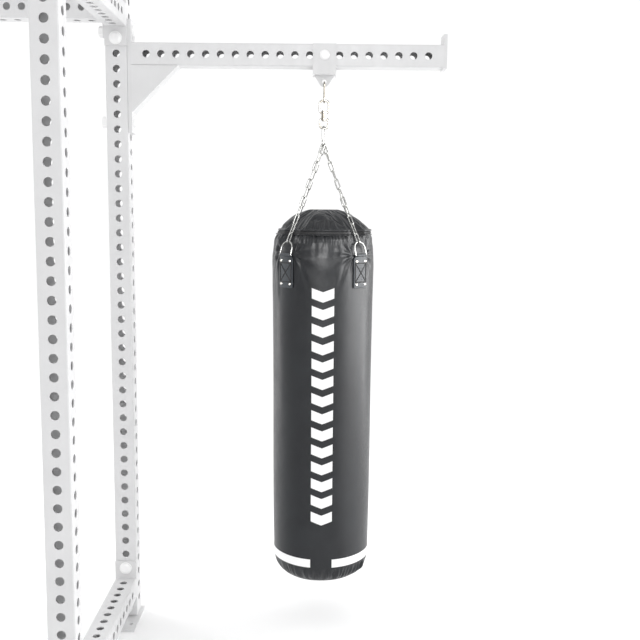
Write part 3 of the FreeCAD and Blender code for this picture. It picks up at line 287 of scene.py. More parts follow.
def printed_ink(name, light, dark):
    """White ink over leather: it follows the grain and is rubbed thin in places."""
    ink = Material(name, 0.45, Coat_Weight=0.1, Coat_Roughness=0.25)
    rubbed = ink.noise(90.0, 7.0, roughness=0.75)
    ink.colour(ink.remap(rubbed, 0.2, 0.42), dark, light)
    ink.roughness(rubbed, 0.4, 0.55)
    ink.bump((ink.noise(30.0, 3.0), 0.001, 0.25), (ink.cells(620.0), 0.00012, 0.4))
    return ink.material


def moulded_plastic(name, light, dark):
    """Moulded plastic: faint clouds of tone and a fine matt grain."""
    plastic = Material(name, 0.5, Specular_IOR_Level=0.45)
    plastic.colour(plastic.noise(25.0, 4.0), light, dark)
    plastic.bump((plastic.noise(1200.0, 2.0), 0.00008, 0.5))
    return plastic.material


def floor_paint(name, light, dark):
    """Matt white paint with broad, faint clouds of tone."""
    paint = Material(name, 0.7)
    paint.colour(paint.noise(1.5, 3.0), light, dark)
    return paint.material


# Each slot's material, its two tones, and what else sets it apart from others of its kind.
RECIPES = (
    ("rack_paint", powder_coat, (0.71, 0.71, 0.715), (0.66, 0.66, 0.665), {}),
    ("plate_paint", powder_coat, (0.70, 0.70, 0.705), (0.64, 0.64, 0.645), {"roughness": 0.46}),
    ("cap_plastic", moulded_plastic, (0.64, 0.64, 0.65), (0.58, 0.58, 0.59), {}),
    ("bolt_zinc", powder_coat, (0.93, 0.93, 0.93), (0.87, 0.87, 0.87), {"roughness": 0.3}),
    ("chain_zinc", plated_metal, (0.60, 0.60, 0.585), (0.27, 0.27, 0.26), {"roughness": 0.2}),
    ("swivel_nickel", plated_metal, (0.42, 0.39, 0.34), (0.16, 0.15, 0.13), {"roughness": 0.18}),
    ("rivet_nickel", plated_metal, (0.85, 0.82, 0.76), (0.62, 0.59, 0.54), {"roughness": 0.22}),
    ("bag_leather", leather, (0.014, 0.016, 0.019), (0.009, 0.010, 0.0125), {"roughness": 0.33}),
    ("strap_leather", leather, (0.062, 0.070, 0.078), (0.038, 0.043, 0.050),
     {"roughness": 0.40, "grain": 480.0, "depth": 0.0003}),
    ("zip_tape", woven, (0.012, 0.012, 0.013), (0.03, 0.03, 0.032), {}),
    ("foam", woven, (0.2, 0.2, 0.21), (0.3, 0.3, 0.31), {"threads": 300.0}),
    ("filling", woven, (0.28, 0.27, 0.26), (0.42, 0.41, 0.4), {"threads": 500.0}),
    ("white_print", printed_ink, (0.93, 0.93, 0.93), (0.72, 0.72, 0.71), {}),
    ("zip_teeth", moulded_plastic, (0.035, 0.035, 0.037), (0.02, 0.02, 0.022), {}),
    # The thread's near-black also colours the strips of painted shade laid along the strap seams.
    ("thread", woven, (0.004, 0.004, 0.005), (0.010, 0.010, 0.011), {"threads": 2500.0}),
)
FINISHES = {name: make(name, first, second, **how) for name, make, first, second, how in RECIPES}


def finish_cad_nodes():
    """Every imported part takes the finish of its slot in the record."""
    for part in frame["record"]["subparts"]:
        thing = nodes[part["node"]]
        finish = FINISHES[part["material_slot"]]
        if not thing.material_slots:
            thing.data.materials.append(finish)
        for slot in thing.material_slots:
            slot.material = finish


# ------------------------------------------------------------------ the bag's leather surface
PROFILE = (
    (0.265, 0.1712),
    (0.435, 0.1733),
    (0.810, 0.1752),
    (1.174, 0.1780),
    (1.290, 0.1797),
    (1.335, 0.1788),
    (1.365, 0.1754),
    (1.387, 0.1722),
    (1.4095, 0.1696),
    (1.426, 0.1676),
)
SIDE_COLUMNS = 520
BODY_TOP = 1.17

# The rounded lower edge, and its gathers: their reach up from the base and down from the edge's top.
EDGE_TALL = 0.085
EDGE_IN = 0.055
EDGE_TOP = BAG_BASE + EDGE_TALL
PLEAT_START = (0.004, 0.030)
PLEAT_END = (0.050, 0.018)
PLEAT_WIDE = 0.0030
PLEAT_FINE = 0.0014

# The slack of the upper edge, by height, and the azimuth where it is deepest.
SLACK_AZIMUTH = math.radians(215)
SLACK_HEIGHTS = (1.385, 1.4095, 1.426, 1.44)
SLACK_DEPTHS = (0.0, 0.0065, 0.0165, 0.0165)

# The dent under a chain: half its width where it is flat and where it ends, and its start above the ring.
DENT_FLAT, DENT_HALF = 0.010, 0.042
DENT_START, DENT_FULL = -0.034, -0.006

# The room behind the zip's slider and pull.
SLIDER_AZIMUTH = math.pi / 2
SLIDER_REACH = 0.56
SLIDER_FADE = 0.10
SLIDER_HEIGHTS = (1.350, 1.384)
LEATHER_ROOM = 0.1664
ZIP_ROOM = 0.1650

# The flat place behind a strap tab and its D-ring, and the folds that run out from the tab's upper corners.
TAB_HALF = 0.031
TAB_TOP = tab_high[2] - 0.004
PRESS_FADE = (TAB_HALF + 0.001, TAB_HALF + 0.022)
PRESS_START = (1.16, 1.215)
PRESS_END = (1.392, 1.418)
RING_HEIGHTS, RING_DEPTHS = (1.335, 1.392), (0.0, 0.0140)
FAN_DEEP = 0.0045
FAN_REACH = 0.045
DRAPE_DEEP = 0.0034
DRAPE_HALF = 0.009

# How much the leather waves: all over, on the shoulder, and where the zip gathers and tucks it.
WAVE_BODY = 0.0009
WAVE_SHOULDER = 0.0011
WAVE_GATHER = 0.0016
SEAM_TUCK = 0.0022


def plain_radius(height):
    """The bag's radius at a height above its base, before any dent or fold."""
    heights, radii = zip(*PROFILE)
    below = np.clip((EDGE_TOP - height) / EDGE_TALL, 0.0, 1.0)
    return np.interp(height, heights, radii) - EDGE_IN * (1 - np.sqrt(1 - below * below))


def leaned_in(angle, height):
    """How far the filling leaves the bag's upper edge slack, most on the front left."""
    slack = (0.5 + 0.5 * np.cos(angle - SLACK_AZIMUTH)) ** 1.5
    return slack * np.interp(height, SLACK_HEIGHTS, SLACK_DEPTHS)


def aside(angle, azimuth):
    """Signed angle from an azimuth, from -pi to pi."""
    return (angle - azimuth + math.pi) % TAU - math.pi


def chain_dents(angle, radius, height):
    """The radius where the four taut chains press the leather in."""
    foot_r, foot_z = CHAIN_FOOT
    head_r, head_z = CHAIN_HEAD
    slope = (foot_r - head_r) / (head_z - foot_z)
    room = CHAIN_ROOM * math.sqrt(1 + slope * slope)
    for azimuth in CHAIN_AZIMUTHS:
        away = aside(angle, azimuth)
        allowed = foot_r - slope * (height - foot_z) - room
        near = 1 - smooth(np.abs(radius * np.sin(away)), DENT_FLAT, DENT_HALF)
        near = near * smooth(height, foot_z + DENT_START, foot_z + DENT_FULL) * (np.abs(away) < CHAIN_SIDE)
        radius = radius - near * np.maximum(0.0, radius - allowed)
    return radius


def slider_room(angle, radius, height, allowed):
    """The radius at the rear, where the zip's slider and its hanging pull need room to travel."""
    away = np.abs(aside(angle, SLIDER_AZIMUTH))
    near = 1 - smooth(away, SLIDER_REACH, SLIDER_REACH + SLIDER_FADE)
    near = near * smooth(height, *SLIDER_HEIGHTS)
    return radius - near * np.maximum(0.0, radius - allowed)


def tab_press(angle, radius, height):
    """The leather lies flat behind each strap tab and D-ring, and folds run out from the tab's corners."""
    for number, azimuth in enumerate(CHAIN_AZIMUTHS):
        sideways = BAG_RADIUS * aside(angle, azimuth)
        flat = 1 - smooth(np.abs(sideways), *PRESS_FADE)
        flat = flat * smooth(height, *PRESS_START) * (1 - smooth(height, *PRESS_END))
        allowed = BAG_RADIUS - 0.0004 - np.interp(height, RING_HEIGHTS, RING_DEPTHS)
        radius = radius - flat * np.maximum(0.0, radius - allowed)
        for side in (-1, 1):
            fan, drape = corner_folds(number, sideways * side - TAB_HALF, height - TAB_TOP)
            radius = radius + FAN_DEEP * fan - DRAPE_DEEP * drape
    return radius


def corner_folds(number, out, up):
    """Folds by the distance out from and up from a tab's corner: a fan of small ones, and one that hangs."""
    outside = smooth(out, 0.0, 0.008)
    reach, bearing = np.hypot(out, up), np.arctan2(up, out)
    fan = np.cos(9 * bearing + 1.3 * number) * np.exp(-reach / FAN_REACH) * smooth(reach, 0.004, 0.03)
    middle = 0.018 + 0.35 * np.maximum(0.0, -up)
    drape = np.exp(-((out - middle) / DRAPE_HALF) ** 2)
    drape = drape * smooth(up, -0.14, -0.02) * (1 - smooth(up, 0.02, 0.05))
    return fan * outside, drape * outside


def pleats(angle, height):
    """Gathers of the lower edge, where the side is sewn to the base: deepest on the right."""
    deep = smooth(height, BAG_BASE + PLEAT_START[0], BAG_BASE + PLEAT_START[1])
    deep = deep * (1 - smooth(height, EDGE_TOP - PLEAT_END[0], EDGE_TOP - PLEAT_END[1]))
    wide = ripples(13, angle, height, (15, 34), (0.0, 18.0), count=6)
    fine = ripples(11, angle, height, (38, 80), (0.0, 14.0))
    folds = PLEAT_WIDE * (np.abs(wide) ** 0.7 * np.sign(wide)) + PLEAT_FINE * fine
    return deep * (1.1 + 0.5 * np.cos(angle)) * folds


def leather_radius(angle, height):
    """The leather's radius at any azimuth and height of the bag's side."""
    radius = plain_radius(height) - leaned_in(angle, height)
    radius = radius + WAVE_BODY * ripples(3, angle, height, (2, 7), (1.5, 9.0))
    shoulder = smooth(height, 1.30, 1.38)
    radius = radius + WAVE_SHOULDER * shoulder * ripples(5, angle, height, (14, 44), (0.0, 30.0))
    gathers = smooth(height, SEAM - 0.040, SEAM - 0.004)
    radius = radius + WAVE_GATHER * gathers * ripples(8, angle, height, (60, 120), (0.0, 20.0))
    radius = radius - SEAM_TUCK * smooth(height, SEAM - 0.014, SEAM - 0.003)
    radius = radius + pleats(angle, height)
    radius = tab_press(angle, radius, height)
    radius = slider_room(angle, radius, height, LEATHER_ROOM)
    return chain_dents(angle, radius, height)


def side_heights():
    """Rows of the leather, closer together where it bends and folds."""
    turn = np.linspace(math.radians(3), math.pi / 2, 42)
    edge = BAG_BASE + EDGE_TALL * (1 - np.cos(turn))
    body = np.linspace(EDGE_TOP, BODY_TOP, 24)
    shoulder = np.linspace(BODY_TOP, SEAM, 108)
    return np.concatenate([edge, body[1:], shoulder[1:]])


def bag_side():
    """The base and the side of the bag, from the middle of the base round its edge and up to the zip."""
    angle = np.linspace(0, TAU, SIDE_COLUMNS, endpoint=False)[None, :]
    heights = side_heights()[:, None]
    side_r = leather_radius(angle, heights)
    side = np.concatenate([side_r, side_r[-1:] - 0.003], axis=0)
    side_z = np.concatenate([heights, heights[-1:]], axis=0) + 0 * angle

    share = np.linspace(0.0, 1.0, 16)[1:-1, None] ** 0.8
    panel_r = side_r[:1] * share
    sag = 0.0006 * ripples(17, angle, share, (2, 9), (2.0, 9.0)) * (1 - share)
    panel_z = heights[0] + 0.0012 * np.sin(math.pi * share) + sag

    radius = np.concatenate([panel_r, side])
    height = np.concatenate([panel_z, side_z])
    points = around_bag(angle + 0 * radius, radius, height)
    faces = grid_faces(radius.shape[0], SIDE_COLUMNS, True)
    middle = len(points)
    points = np.vstack([points, [[BAG_X, BAG_Y, float(panel_z[0].mean())]]])
    faces += [[(column + 1) % SIDE_COLUMNS, column, middle] for column in range(SIDE_COLUMNS)]
    piece = mesh_piece("bag_leather", points, faces, FINISHES["bag_leather"])
    own(piece, "bag", "bag_leather", "bag_shell", "bag_base")


# ------------------------------------------------------------------ zip
# The tape: how far it lies inside the plain surface, its waves, and its depth.
ZIP_IN = 0.0008
ZIP_WAVE = 0.0006
TAPE_DEEP = 0.003

# Each piping: its name, the height of its middle, and half its thickness and height.
PIPINGS = (
    ("piping_lower", SEAM + 0.0008, 0.0024, 0.0020),
    ("piping_upper", RIM - 0.0004, 0.0030, 0.0030),
)
PIPING_SIDES = 10

# The teeth: how many, half a tooth's share of its step, its section, its lift up or down, and its place out.
TEETH = 420
TOOTH_HALF = 0.32
TOOTH_SECTION = ((0.0009, 0.0019), (0.0009, -0.0019), (-0.0006, -0.0019), (-0.0006, 0.0019))
TOOTH_LIFT = 0.0004
TOOTH_OUT = 0.0008


def zip_radius(angle, height):
    """The radius of the zip's tape."""
    radius = plain_radius(height) - leaned_in(angle, height) - ZIP_IN
    radius = radius + ZIP_WAVE * ripples(8, angle, height * 0 + SEAM, (40, 80), (0.0, 1.0))
    radius = slider_room(angle, radius, height, ZIP_ROOM)
    return chain_dents(angle, radius, height)


def swept_ring(name, section, finish):
    """A ring round the bag from a closed section of (distance from the tape, height) points."""
    angle = np.linspace(0, TAU, SIDE_COLUMNS, endpoint=False)[None, :]
    offsets = np.array([point[0] for point in section])[:, None]
    heights = np.array([point[1] for point in section])[:, None] + 0 * angle
    radius = zip_radius(angle, heights) + offsets
    points = around_bag(angle + 0 * radius, radius, heights)
    faces = grid_faces(len(section), SIDE_COLUMNS, True, True)
    return mesh_piece(name, points, faces, FINISHES[finish])


def zip_pieces():
    """The zip's tape, the piping above and below it, and its row of teeth."""
    tape_section = ((-TAPE_DEEP, SEAM), (0.0, SEAM), (0.0002, RIM), (-TAPE_DEEP, RIM))
    tape = swept_ring("zip_tape_ring", tape_section, "zip_tape")
    own(tape, "bag", "zip_tape", "zip_band")
    turns = [TAU * number / PIPING_SIDES for number in range(PIPING_SIDES)]
    for name, height, half_thick, half_tall in PIPINGS:
        section = []
        for turn in turns:
            out = half_thick / 2 + half_thick * math.cos(turn)
            section.append((out, height + half_tall * math.sin(turn)))
        own(swept_ring(name, section, "bag_leather"), "bag", "bag_leather")
    own(zip_teeth(), "bag", "zip_tape")


def zip_teeth():
    """Small blocks round the bag, each second one a little higher."""
    middle = (SEAM + RIM) / 2
    points, faces = [], []
    for number in range(TEETH):
        angle = TAU * number / TEETH
        lift = TOOTH_LIFT * (1 if number % 2 else -1)
        radius = float(zip_radius(np.array([[angle]]), np.array([[middle]]))[0, 0]) + TOOTH_OUT
        for half in (-TOOTH_HALF, TOOTH_HALF):
            turn = angle + half * TAU / TEETH
            points += [bag_point(turn, radius + out, middle + up + lift) for out, up in TOOTH_SECTION]
        first = number * 8
        block = grid_faces(2, 4, True) + [[3, 2, 1, 0], [4, 5, 6, 7]]
        faces += [[first + corner for corner in face] for face in block]
    return mesh_piece("zip_teeth", points, faces, FINISHES["zip_teeth"], shade_smooth=False)


# ------------------------------------------------------------------ top cover
COVER_COLUMNS = 280
COVER_ROWS = 56
COVER_ROUND = 2.3
COVER_FOLD = 0.0026
COVER_FINE = 0.0012
COVER_IN = 0.0012

# The stuffing: its frames, the spare leather, the filling's push, how far a point may move, and its room
# below and above the dome's top.
SETTLE_FRAMES = 20
SPARE_LEATHER = 0.045
FILLING_PUSH = 1.6
COVER_CAP = 0.008
COVER_RISE = 0.002

# Where the cover is held: near its rim, and beside each chain from the rim inwards.
HELD_RIM = (0.140, 0.156)
HELD_SIDE = (0.022, 0.05)
HELD_IN = (0.085, 0.115)


def cover_surface():
    """The top cover before it is stuffed: a low dome down to its rim, pressed in under the chains."""
    angle = np.linspace(0, TAU, COVER_COLUMNS, endpoint=False)[None, :]
    out = np.linspace(0.02, 1.0, COVER_ROWS)[:, None] ** 0.9
    rim_radius = zip_radius(angle, np.array([[RIM]])) - COVER_IN
    radius = rim_radius * out
    height = RIM + (DOME_TOP - RIM - COVER_RISE) * (1 - out**COVER_ROUND) + 0 * angle
    folds = ripples(21, angle, out, (16, 40), (0.0, 3.0), count=6)
    fine = ripples(23, angle, out, (50, 90), (0.0, 4.0), count=6)
    height = height + COVER_FOLD * folds * smooth(out, 0.35, 0.8) * (1 - smooth(out, 0.93, 1.0))
    height = height + COVER_FINE * fine * smooth(out, 0.72, 0.93) * (1 - 0.6 * smooth(out, 0.97, 1.0))
    radius = np.concatenate([radius, rim_radius + COVER_IN, rim_radius - TAPE_DEEP])
    height = np.concatenate([height, RIM + 0.0005 + 0 * rim_radius, RIM - 0.0005 + 0 * rim_radius])
    for _ in range(2):
        radius = chain_dents(angle, radius, height)
    return angle, radius, height


def bag_top():
    """The top cover: stuffed from below and gathered where the zip's tape holds its rim."""
    angle, radius, height = cover_surface()
    points = around_bag(angle + 0 * radius, radius, height)
    faces = [face[::-1] for face in grid_faces(radius.shape[0], COVER_COLUMNS, True)]
    middle = len(points)
    points = np.vstack([points, [[BAG_X, BAG_Y, float(height[0].mean() + 0.0001)]]])
    faces += [[column, (column + 1) % COVER_COLUMNS, middle] for column in range(COVER_COLUMNS)]
    piece = mesh_piece("bag_top_cover", points, faces, FINISHES["bag_leather"])
    stuff_cover(piece, points)
    smoother = piece.modifiers.new("finer", "SUBSURF")
    smoother.levels = smoother.render_levels = 1
    apply_modifiers(piece)
    own(piece, "bag", "bag_leather", "top_cover")


def held_share(points):
    """1 where the cover can't move, at its rim and beside the chains, and 0 where it is free."""
    offset = points[:, :2] - (BAG_X, BAG_Y)
    angle, radius = np.arctan2(offset[:, 1], offset[:, 0]), np.hypot(offset[:, 0], offset[:, 1])
    held = smooth(radius, *HELD_RIM)
    for azimuth in CHAIN_AZIMUTHS:
        away = aside(angle, azimuth)
        sideways = np.abs(radius * np.sin(away))
        near = (1 - smooth(sideways, *HELD_SIDE)) * smooth(radius, *HELD_IN)
        held = np.maximum(held, near * (np.abs(away) < CHAIN_SIDE))
    return held


def stuff_cover(piece, points):
    """Let the cover's spare leather buckle over the filling that pushes it up."""
    held = held_share(points)
    group = piece.vertex_groups.new(name="held")
    for index, share in enumerate(held):
        group.add([index], float(share), "REPLACE")
    cloth = piece.modifiers.new("cloth", "CLOTH")
    settings = cloth.settings
    settings.quality = 6
    settings.mass = 0.5
    settings.tension_stiffness = settings.compression_stiffness = 25.0
    settings.shear_stiffness = 15.0
    settings.bending_stiffness = 0.8
    settings.shrink_min = -SPARE_LEATHER
    settings.use_pressure = True
    settings.uniform_pressure_force = FILLING_PUSH
    settings.effector_weights.gravity = 0.0
    settings.vertex_group_mass = "held"
    cloth.point_cache.frame_start, cloth.point_cache.frame_end = 1, SETTLE_FRAMES
    for number in range(1, SETTLE_FRAMES + 1):
        bpy.context.scene.frame_set(number)
    apply_modifiers(piece)
    moved = np.empty(len(points) * 3)
    piece.data.vertices.foreach_get("co", moved)
    move = moved.reshape(-1, 3) - points
    length = np.linalg.norm(move, axis=1, keepdims=True)
    capped = move * np.minimum(1.0, COVER_CAP / np.maximum(length, 1e-9))
    settled = points + capped * (1 - held[:, None])
    settled[:, 2] = np.minimum(settled[:, 2], DOME_TOP + COVER_RISE)
    piece.data.vertices.foreach_set("co", settled.ravel())
    piece.data.update()
    bpy.context.scene.frame_set(1)


# ------------------------------------------------------------------ prints
INK_LIFT = 0.0007
INK_THICK = 0.0006
PRINT_AZIMUTH = -math.pi / 2

# The chevrons: how many, a chevron's share of its step, and the height of its point.
MARK_COUNT = 14
MARK_SHARE = 0.82
MARK_POINT = 0.014

# The band: half the gap at its front and back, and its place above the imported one.
BAND_GAP = 0.039
BAND_RISE = 0.006


def join_patches(name, patches, slot, stands_for):
    """One piece from several surface patches, given a real thickness."""
    vertices, faces = [], []
    for across, up in patches:
        angle = PRINT_AZIMUTH + across / BAG_RADIUS
        points = around_bag(angle, leather_radius(angle, up) + INK_LIFT, up)
        first = sum(len(block) for block in vertices)
        vertices.append(points)
        faces += [[first + corner for corner in face] for face in grid_faces(*across.shape, False)]
    piece = mesh_piece(name, np.vstack(vertices), faces, FINISHES[slot])
    thicken(piece, INK_THICK)
    apply_modifiers(piece)
    own(piece, "bag", slot, stands_for)


def prints():
    """A column of chevrons down the front, and the band near the base in two lengths."""
    low, high = mark_low[2], mark_high[2]
    pitch = (high - low) / (MARK_COUNT - 1 + MARK_SHARE)
    half = (mark_high[0] - mark_low[0]) / 2
    tall = pitch * MARK_SHARE - MARK_POINT
    rows, columns = np.linspace(0, 1, 22)[:, None], np.linspace(-1, 1, 41)[None, :]
    across = half * columns + 0 * rows
    patches = []
    for number in range(MARK_COUNT):
        base = low + number * pitch
        patches.append((across, base + MARK_POINT * np.abs(columns) + tall * rows))
    join_patches("chevrons", patches, "white_print", "chevron_mark")

    band_low, band_high = stripe_low[2] + BAND_RISE, stripe_high[2] + BAND_RISE
    gap = math.asin(BAND_GAP / BAG_RADIUS) * BAG_RADIUS
    quarter = math.pi * BAG_RADIUS / 2
    rows = np.linspace(0, 1, 26)[:, None]
    patches = []
    for centre in (quarter, -quarter):
        across = centre + np.linspace(-(quarter - gap), quarter - gap, SIDE_COLUMNS)[None, :]
        patches.append((across + 0 * rows, band_low + (band_high - band_low) * rows + 0 * across))
    join_patches("band_near_base", patches, "white_print", "white_stripes")


# ------------------------------------------------------------------ strap tabs
# The plate: its top edge, its inner and outer radius, how far it puffs out, its grid, and its rounding.
PLATE_TOP = 1.3395
PLATE_IN, PLATE_OUT = BAG_RADIUS + 0.0003, BAG_RADIUS + 0.0052
PLATE_PUFF = 0.0004
PLATE_ROWS, PLATE_COLUMNS = 44, 25
EDGE_ROUND = 0.0011

# The fold round the D-ring's bar: the bar's place, and the fold's radii, turns and half width.
BAR_RADIUS, BAR_RISE = BAG_RADIUS + 0.0054, 1.3425
FOLD_IN, FOLD_OUT = 0.0029, 0.0054
FOLD_TURNS = np.radians(np.linspace(-62, 242, 30))
FOLD_HALF = 0.0225
FOLD_COLUMNS = 21

# The seams: the box and cross they run along, the near-black strips of painted shade under them that stand in
# for the shadow in their grooves, and a stitch's step, length and half thickness.
SEAM_SIDE, SEAM_LOW, SEAM_HIGH = 0.0255, 1.2505, 1.3145
SEAM_SHADE_HALF = 0.0017
SEAM_SHADE_LIFT = 0.0004
SEAM_SHADE_THICK = 0.0005
STITCH_STEP = 0.0046
STITCH_LONG = 0.0037
STITCH_THICK = 0.0007
STITCH_LIFT = 0.0007
STITCH_SIDES = 6


def strap_plate(corner, azimuth):
    """The lower part of a strap: a curved plate with rounded corners, narrower at its top."""
    low, high = tab_low[2], PLATE_TOP
    v = np.linspace(-1, 1, PLATE_ROWS)[:, None]
    u = np.linspace(-1, 1, PLATE_COLUMNS)[None, :]
    narrow = 1 - 0.22 * smooth(v, 0.80, 1.0)
    corner_cut = 1 - 0.06 * smooth(-v, 0.93, 1.0)
    across = TAB_HALF * u * narrow * corner_cut
    up = (low + high) / 2 + (high - low) / 2 * v + 0 * u
    edge = np.maximum(np.abs(u), np.abs(v))
    puff = PLATE_PUFF * (1 - smooth(np.abs(u), 0.55, 0.95)) * (1 - smooth(np.abs(v), 0.8, 0.98))
    middle = (PLATE_IN + PLATE_OUT) / 2 + puff - 0.0005 * smooth(edge, 0.94, 1.0)
    points = around_bag(azimuth + across / BAG_RADIUS, middle, up)
    faces = grid_faces(PLATE_ROWS, PLATE_COLUMNS, False)
    plate = mesh_piece(f"strap_plate_{corner}", points, faces, FINISHES["strap_leather"])
    thicken(plate, PLATE_OUT - PLATE_IN - PLATE_PUFF)
    soft = plate.modifiers.new("soft_edges", "BEVEL")
    soft.width = EDGE_ROUND
    soft.segments = 3
    soft.limit_method = "ANGLE"
    soft.angle_limit = math.radians(50)
    apply_modifiers(plate)
    own(plate, "bag", "strap_leather", f"strap_tab_{corner}")


def strap_fold(corner, azimuth):
    """The narrower fold of a strap round the D-ring's bar."""
    section = [(FOLD_IN * math.cos(turn), FOLD_IN * math.sin(turn)) for turn in FOLD_TURNS[::-1]]
    section += [(FOLD_OUT * math.cos(turn), FOLD_OUT * math.sin(turn)) for turn in FOLD_TURNS]
    points = []
    for out, up in section:
        for offset in np.linspace(-FOLD_HALF, FOLD_HALF, FOLD_COLUMNS):
            pinch = 1 - 0.06 * abs(offset / FOLD_HALF) ** 6
            radius = BAR_RADIUS + out * pinch
            x = BAG_X + radius * math.cos(azimuth) - offset * math.sin(azimuth)
            y = BAG_Y + radius * math.sin(azimuth) + offset * math.cos(azimuth)
            points.append((x, y, BAR_RISE + up * pinch))
    count = len(section)
    faces = grid_faces(count, FOLD_COLUMNS, False, True)
    for end in (0, FOLD_COLUMNS - 1):
        for row in range(count // 2 - 1):
            steps = (row, row + 1, count - 2 - row, count - 1 - row)
            side = [step * FOLD_COLUMNS + end for step in steps]
            faces.append(side if end else side[::-1])
    fold = mesh_piece(f"strap_fold_{corner}", points, faces, FINISHES["strap_leather"])
    own(fold, "bag", "strap_leather")


def seam_lines():
    """Where the straps' thread runs, as (azimuth, start, end): a box on each with a cross in it."""
    low_left, low_right = (-SEAM_SIDE, SEAM_LOW), (SEAM_SIDE, SEAM_LOW)
    high_left, high_right = (-SEAM_SIDE, SEAM_HIGH), (SEAM_SIDE, SEAM_HIGH)
    box = (low_left, low_right, high_right, high_left, low_left)
    runs = [*zip(box, box[1:]), (low_left, high_right), (high_left, low_right)]
    return [(azimuth, Vector(start), Vector(end)) for azimuth in CHAIN_AZIMUTHS for start, end in runs]


def paint_seam_shade():
    """Narrow near-black strips that the straps' stitches run along: painted shade standing in for the shadow
    in the stitched grooves.
    """
    steps = 12
    points, faces = [], []
    for azimuth, start, end in seam_lines():
        run = (end - start).normalized()
        normal = Vector((-run.y, run.x)) * SEAM_SHADE_HALF
        faces += [[len(points) + corner for corner in quad] for quad in grid_faces(steps + 1, 2, False)]
        for number in range(steps + 1):
            middle = start.lerp(end, number / steps)
            for edge in (middle - normal, middle + normal):
                points.append(bag_point(azimuth + edge.x / BAG_RADIUS, PLATE_OUT + SEAM_SHADE_LIFT, edge.y))
    # A thin near-black sheet in the thread's finish: painted shade along the stitched grooves.
    piece = mesh_piece("strap_seam_painted_shade", points, faces, FINISHES["thread"])
    thicken(piece, SEAM_SHADE_THICK, offset=-1.0)
    apply_modifiers(piece)
    own(piece, "bag", "strap_leather")


def stitches():
    """Every stitch of the straps as a short round-ended thread."""
    turns = [TAU * number / STITCH_SIDES for number in range(STITCH_SIDES)]
    ring = [(math.cos(turn), math.sin(turn)) for turn in turns]
    sections = ((-0.5, 0.35), (-0.32, 1.0), (0.32, 1.0), (0.5, 0.35))
    last = (len(sections) - 1) * STITCH_SIDES
    tube = grid_faces(len(sections), STITCH_SIDES, True)
    tube += [[*reversed(range(STITCH_SIDES))], [*range(last, last + STITCH_SIDES)]]
    points, faces = [], []
    for azimuth, start, end in seam_lines():
        run = end - start
        count = max(1, int(run.length / STITCH_STEP))
        direction = run.normalized()
        normal = Vector((-direction.y, direction.x))
        for number in range(count):
            middle = start + run * ((number + 0.5) / count)
            faces += [[len(points) + corner for corner in face] for face in tube]
            for share, scale in sections:
                for side, out in ring:
                    shift = direction * (STITCH_LONG * share) + normal * (STITCH_THICK * scale * side)
                    flat = middle + shift
                    radius = PLATE_OUT + STITCH_LIFT + STITCH_THICK * scale * out
                    points.append(bag_point(azimuth + flat.x / BAG_RADIUS, radius, flat.y))
    piece = mesh_piece("strap_stitches", points, faces, FINISHES["thread"])
    own(piece, "bag", "strap_leather")


def straps():
    """The four strap tabs, then the strips of painted shade along their seams, and the stitches of them all.
    """
    for corner, azimuth in zip(CHAIN_CORNERS, CHAIN_AZIMUTHS):
        strap_plate(corner, azimuth)
        strap_fold(corner, azimuth)
    paint_seam_shade()
    stitches()


# ------------------------------------------------------------------ studio
LOOK_X, LOOK_Y = 0.74, 0.36
WORLD_STRENGTH = 1.07

# Each light: its name, place, the height it looks at, its size, its power, and if matt surfaces get it.
SOFTBOXES = (
    ("key", (0.5, -4.4, 3.9), 1.2, (1.4, 1.4), 2, True),
    ("right_edge", (4.2, 1.6, 1.6), 0.9, (1.2, 3.2), 92, True),
    ("left_edge", (-2.6, 2.4, 1.6), 0.9, (0.7, 3.0), 32, True),
    ("right_sheen", (4.3, -0.7, 1.6), 0.9, (3.2, 3.0), 235, False),
    ("brow_sheen", (0.78, -3.6, 2.3), 1.3, (1.0, 0.9), 130, False),
)

# The floor: where it starts to rise, how far it sweeps up, and its play under the feet.
FLOOR_FLAT = 9.0
FLOOR_SWEEP = 5.0
FLOOR_COLUMNS = 96
FLOOR_DROP = 0.0002


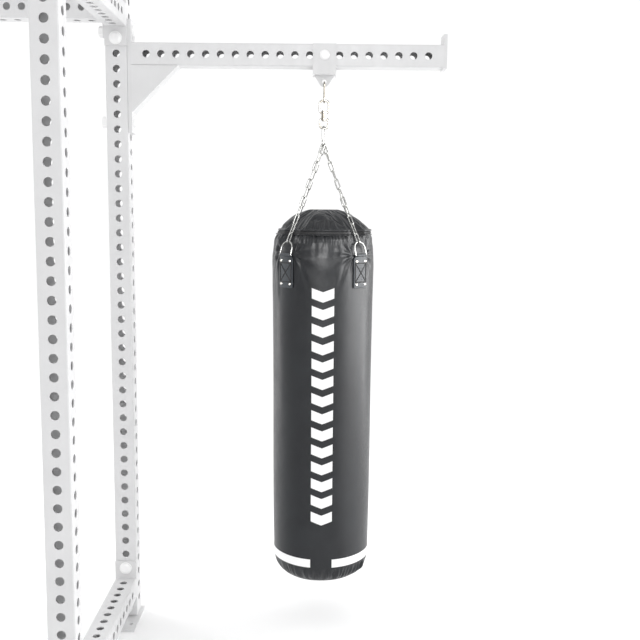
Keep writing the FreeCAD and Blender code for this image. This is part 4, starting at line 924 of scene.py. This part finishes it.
def studio():
    """A pale floor that sweeps up into a backdrop on every side, soft light and a plain white surround."""
    angle = np.linspace(0, TAU, FLOOR_COLUMNS, endpoint=False)[None, :]
    turn = np.linspace(0, math.pi / 2, 14)[:, None]
    radius = np.concatenate([np.array([[0.01], [3.0], [6.0]]), FLOOR_FLAT + FLOOR_SWEEP * np.sin(turn)])
    height = np.concatenate([np.zeros((3, 1)), FLOOR_SWEEP - FLOOR_SWEEP * np.cos(turn)]) - FLOOR_DROP
    x, y = radius * np.cos(angle), radius * np.sin(angle)
    points = np.stack([x, y, height + 0 * angle], axis=-1).reshape(-1, 3)
    faces = grid_faces(radius.shape[0], FLOOR_COLUMNS, True)
    paint = floor_paint("floor_paint", (0.975, 0.975, 0.975), (0.95, 0.95, 0.953))
    floor = mesh_piece("studio_floor", points, faces, paint)

    world = bpy.data.worlds.new("studio")
    world.use_nodes = True
    surround = world.node_tree.nodes["Background"]
    surround.inputs["Color"].default_value = (1.0, 1.0, 1.0, 1.0)
    surround.inputs["Strength"].default_value = WORLD_STRENGTH
    bpy.context.scene.world = world
    for lamp in SOFTBOXES:
        softbox(*lamp)


def softbox(name, place, look_z, size, power, on_matt):
    """A rectangular light; one that isn't on matt surfaces shows only as a sheen."""
    light = bpy.data.lights.new(name, "AREA")
    light.shape = "RECTANGLE"
    light.size, light.size_y = size
    light.energy = power
    thing = link(name, light)
    thing.location = place
    sight = Vector((LOOK_X, LOOK_Y, look_z)) - Vector(place)
    thing.rotation_euler = sight.to_track_quat("-Z", "Y").to_euler()
    thing.visible_diffuse = on_matt


# The camera's place in metres, its yaw, downward pitch and roll in radians, and its lens in millimetres.
CAMERA_PLACE = (0.7132, -2.8542, 1.5031)
CAMERA_TURN = (0.0066, 0.1239, 0.0078)
CAMERA_LENS = 50.86
SENSOR = 36.0


def camera():
    """The camera: in front of the bag, above its middle, looking slightly down."""
    place = Vector(CAMERA_PLACE)
    yaw, pitch, roll = CAMERA_TURN
    forward = Vector((math.sin(yaw) * math.cos(pitch), math.cos(yaw) * math.cos(pitch), -math.sin(pitch)))
    right = Vector((math.cos(yaw), -math.sin(yaw), 0))
    up = right.cross(forward)
    level_right = right * math.cos(roll) + up * math.sin(roll)
    level_up = up * math.cos(roll) - right * math.sin(roll)
    lens = bpy.data.cameras.new("camera")
    lens.sensor_width = SENSOR
    lens.lens = CAMERA_LENS
    lens.clip_end = 60.0
    thing = link("camera", lens)
    turn = Matrix((level_right, level_up, -forward)).transposed()
    thing.matrix_world = Matrix.Translation(place) @ turn.to_4x4()
    bpy.context.scene.camera = thing
    bpy.context.scene.view_settings.view_transform = "Standard"


camera()
studio()
finish_cad_nodes()
bag_side()
bag_top()
zip_pieces()
prints()
straps()
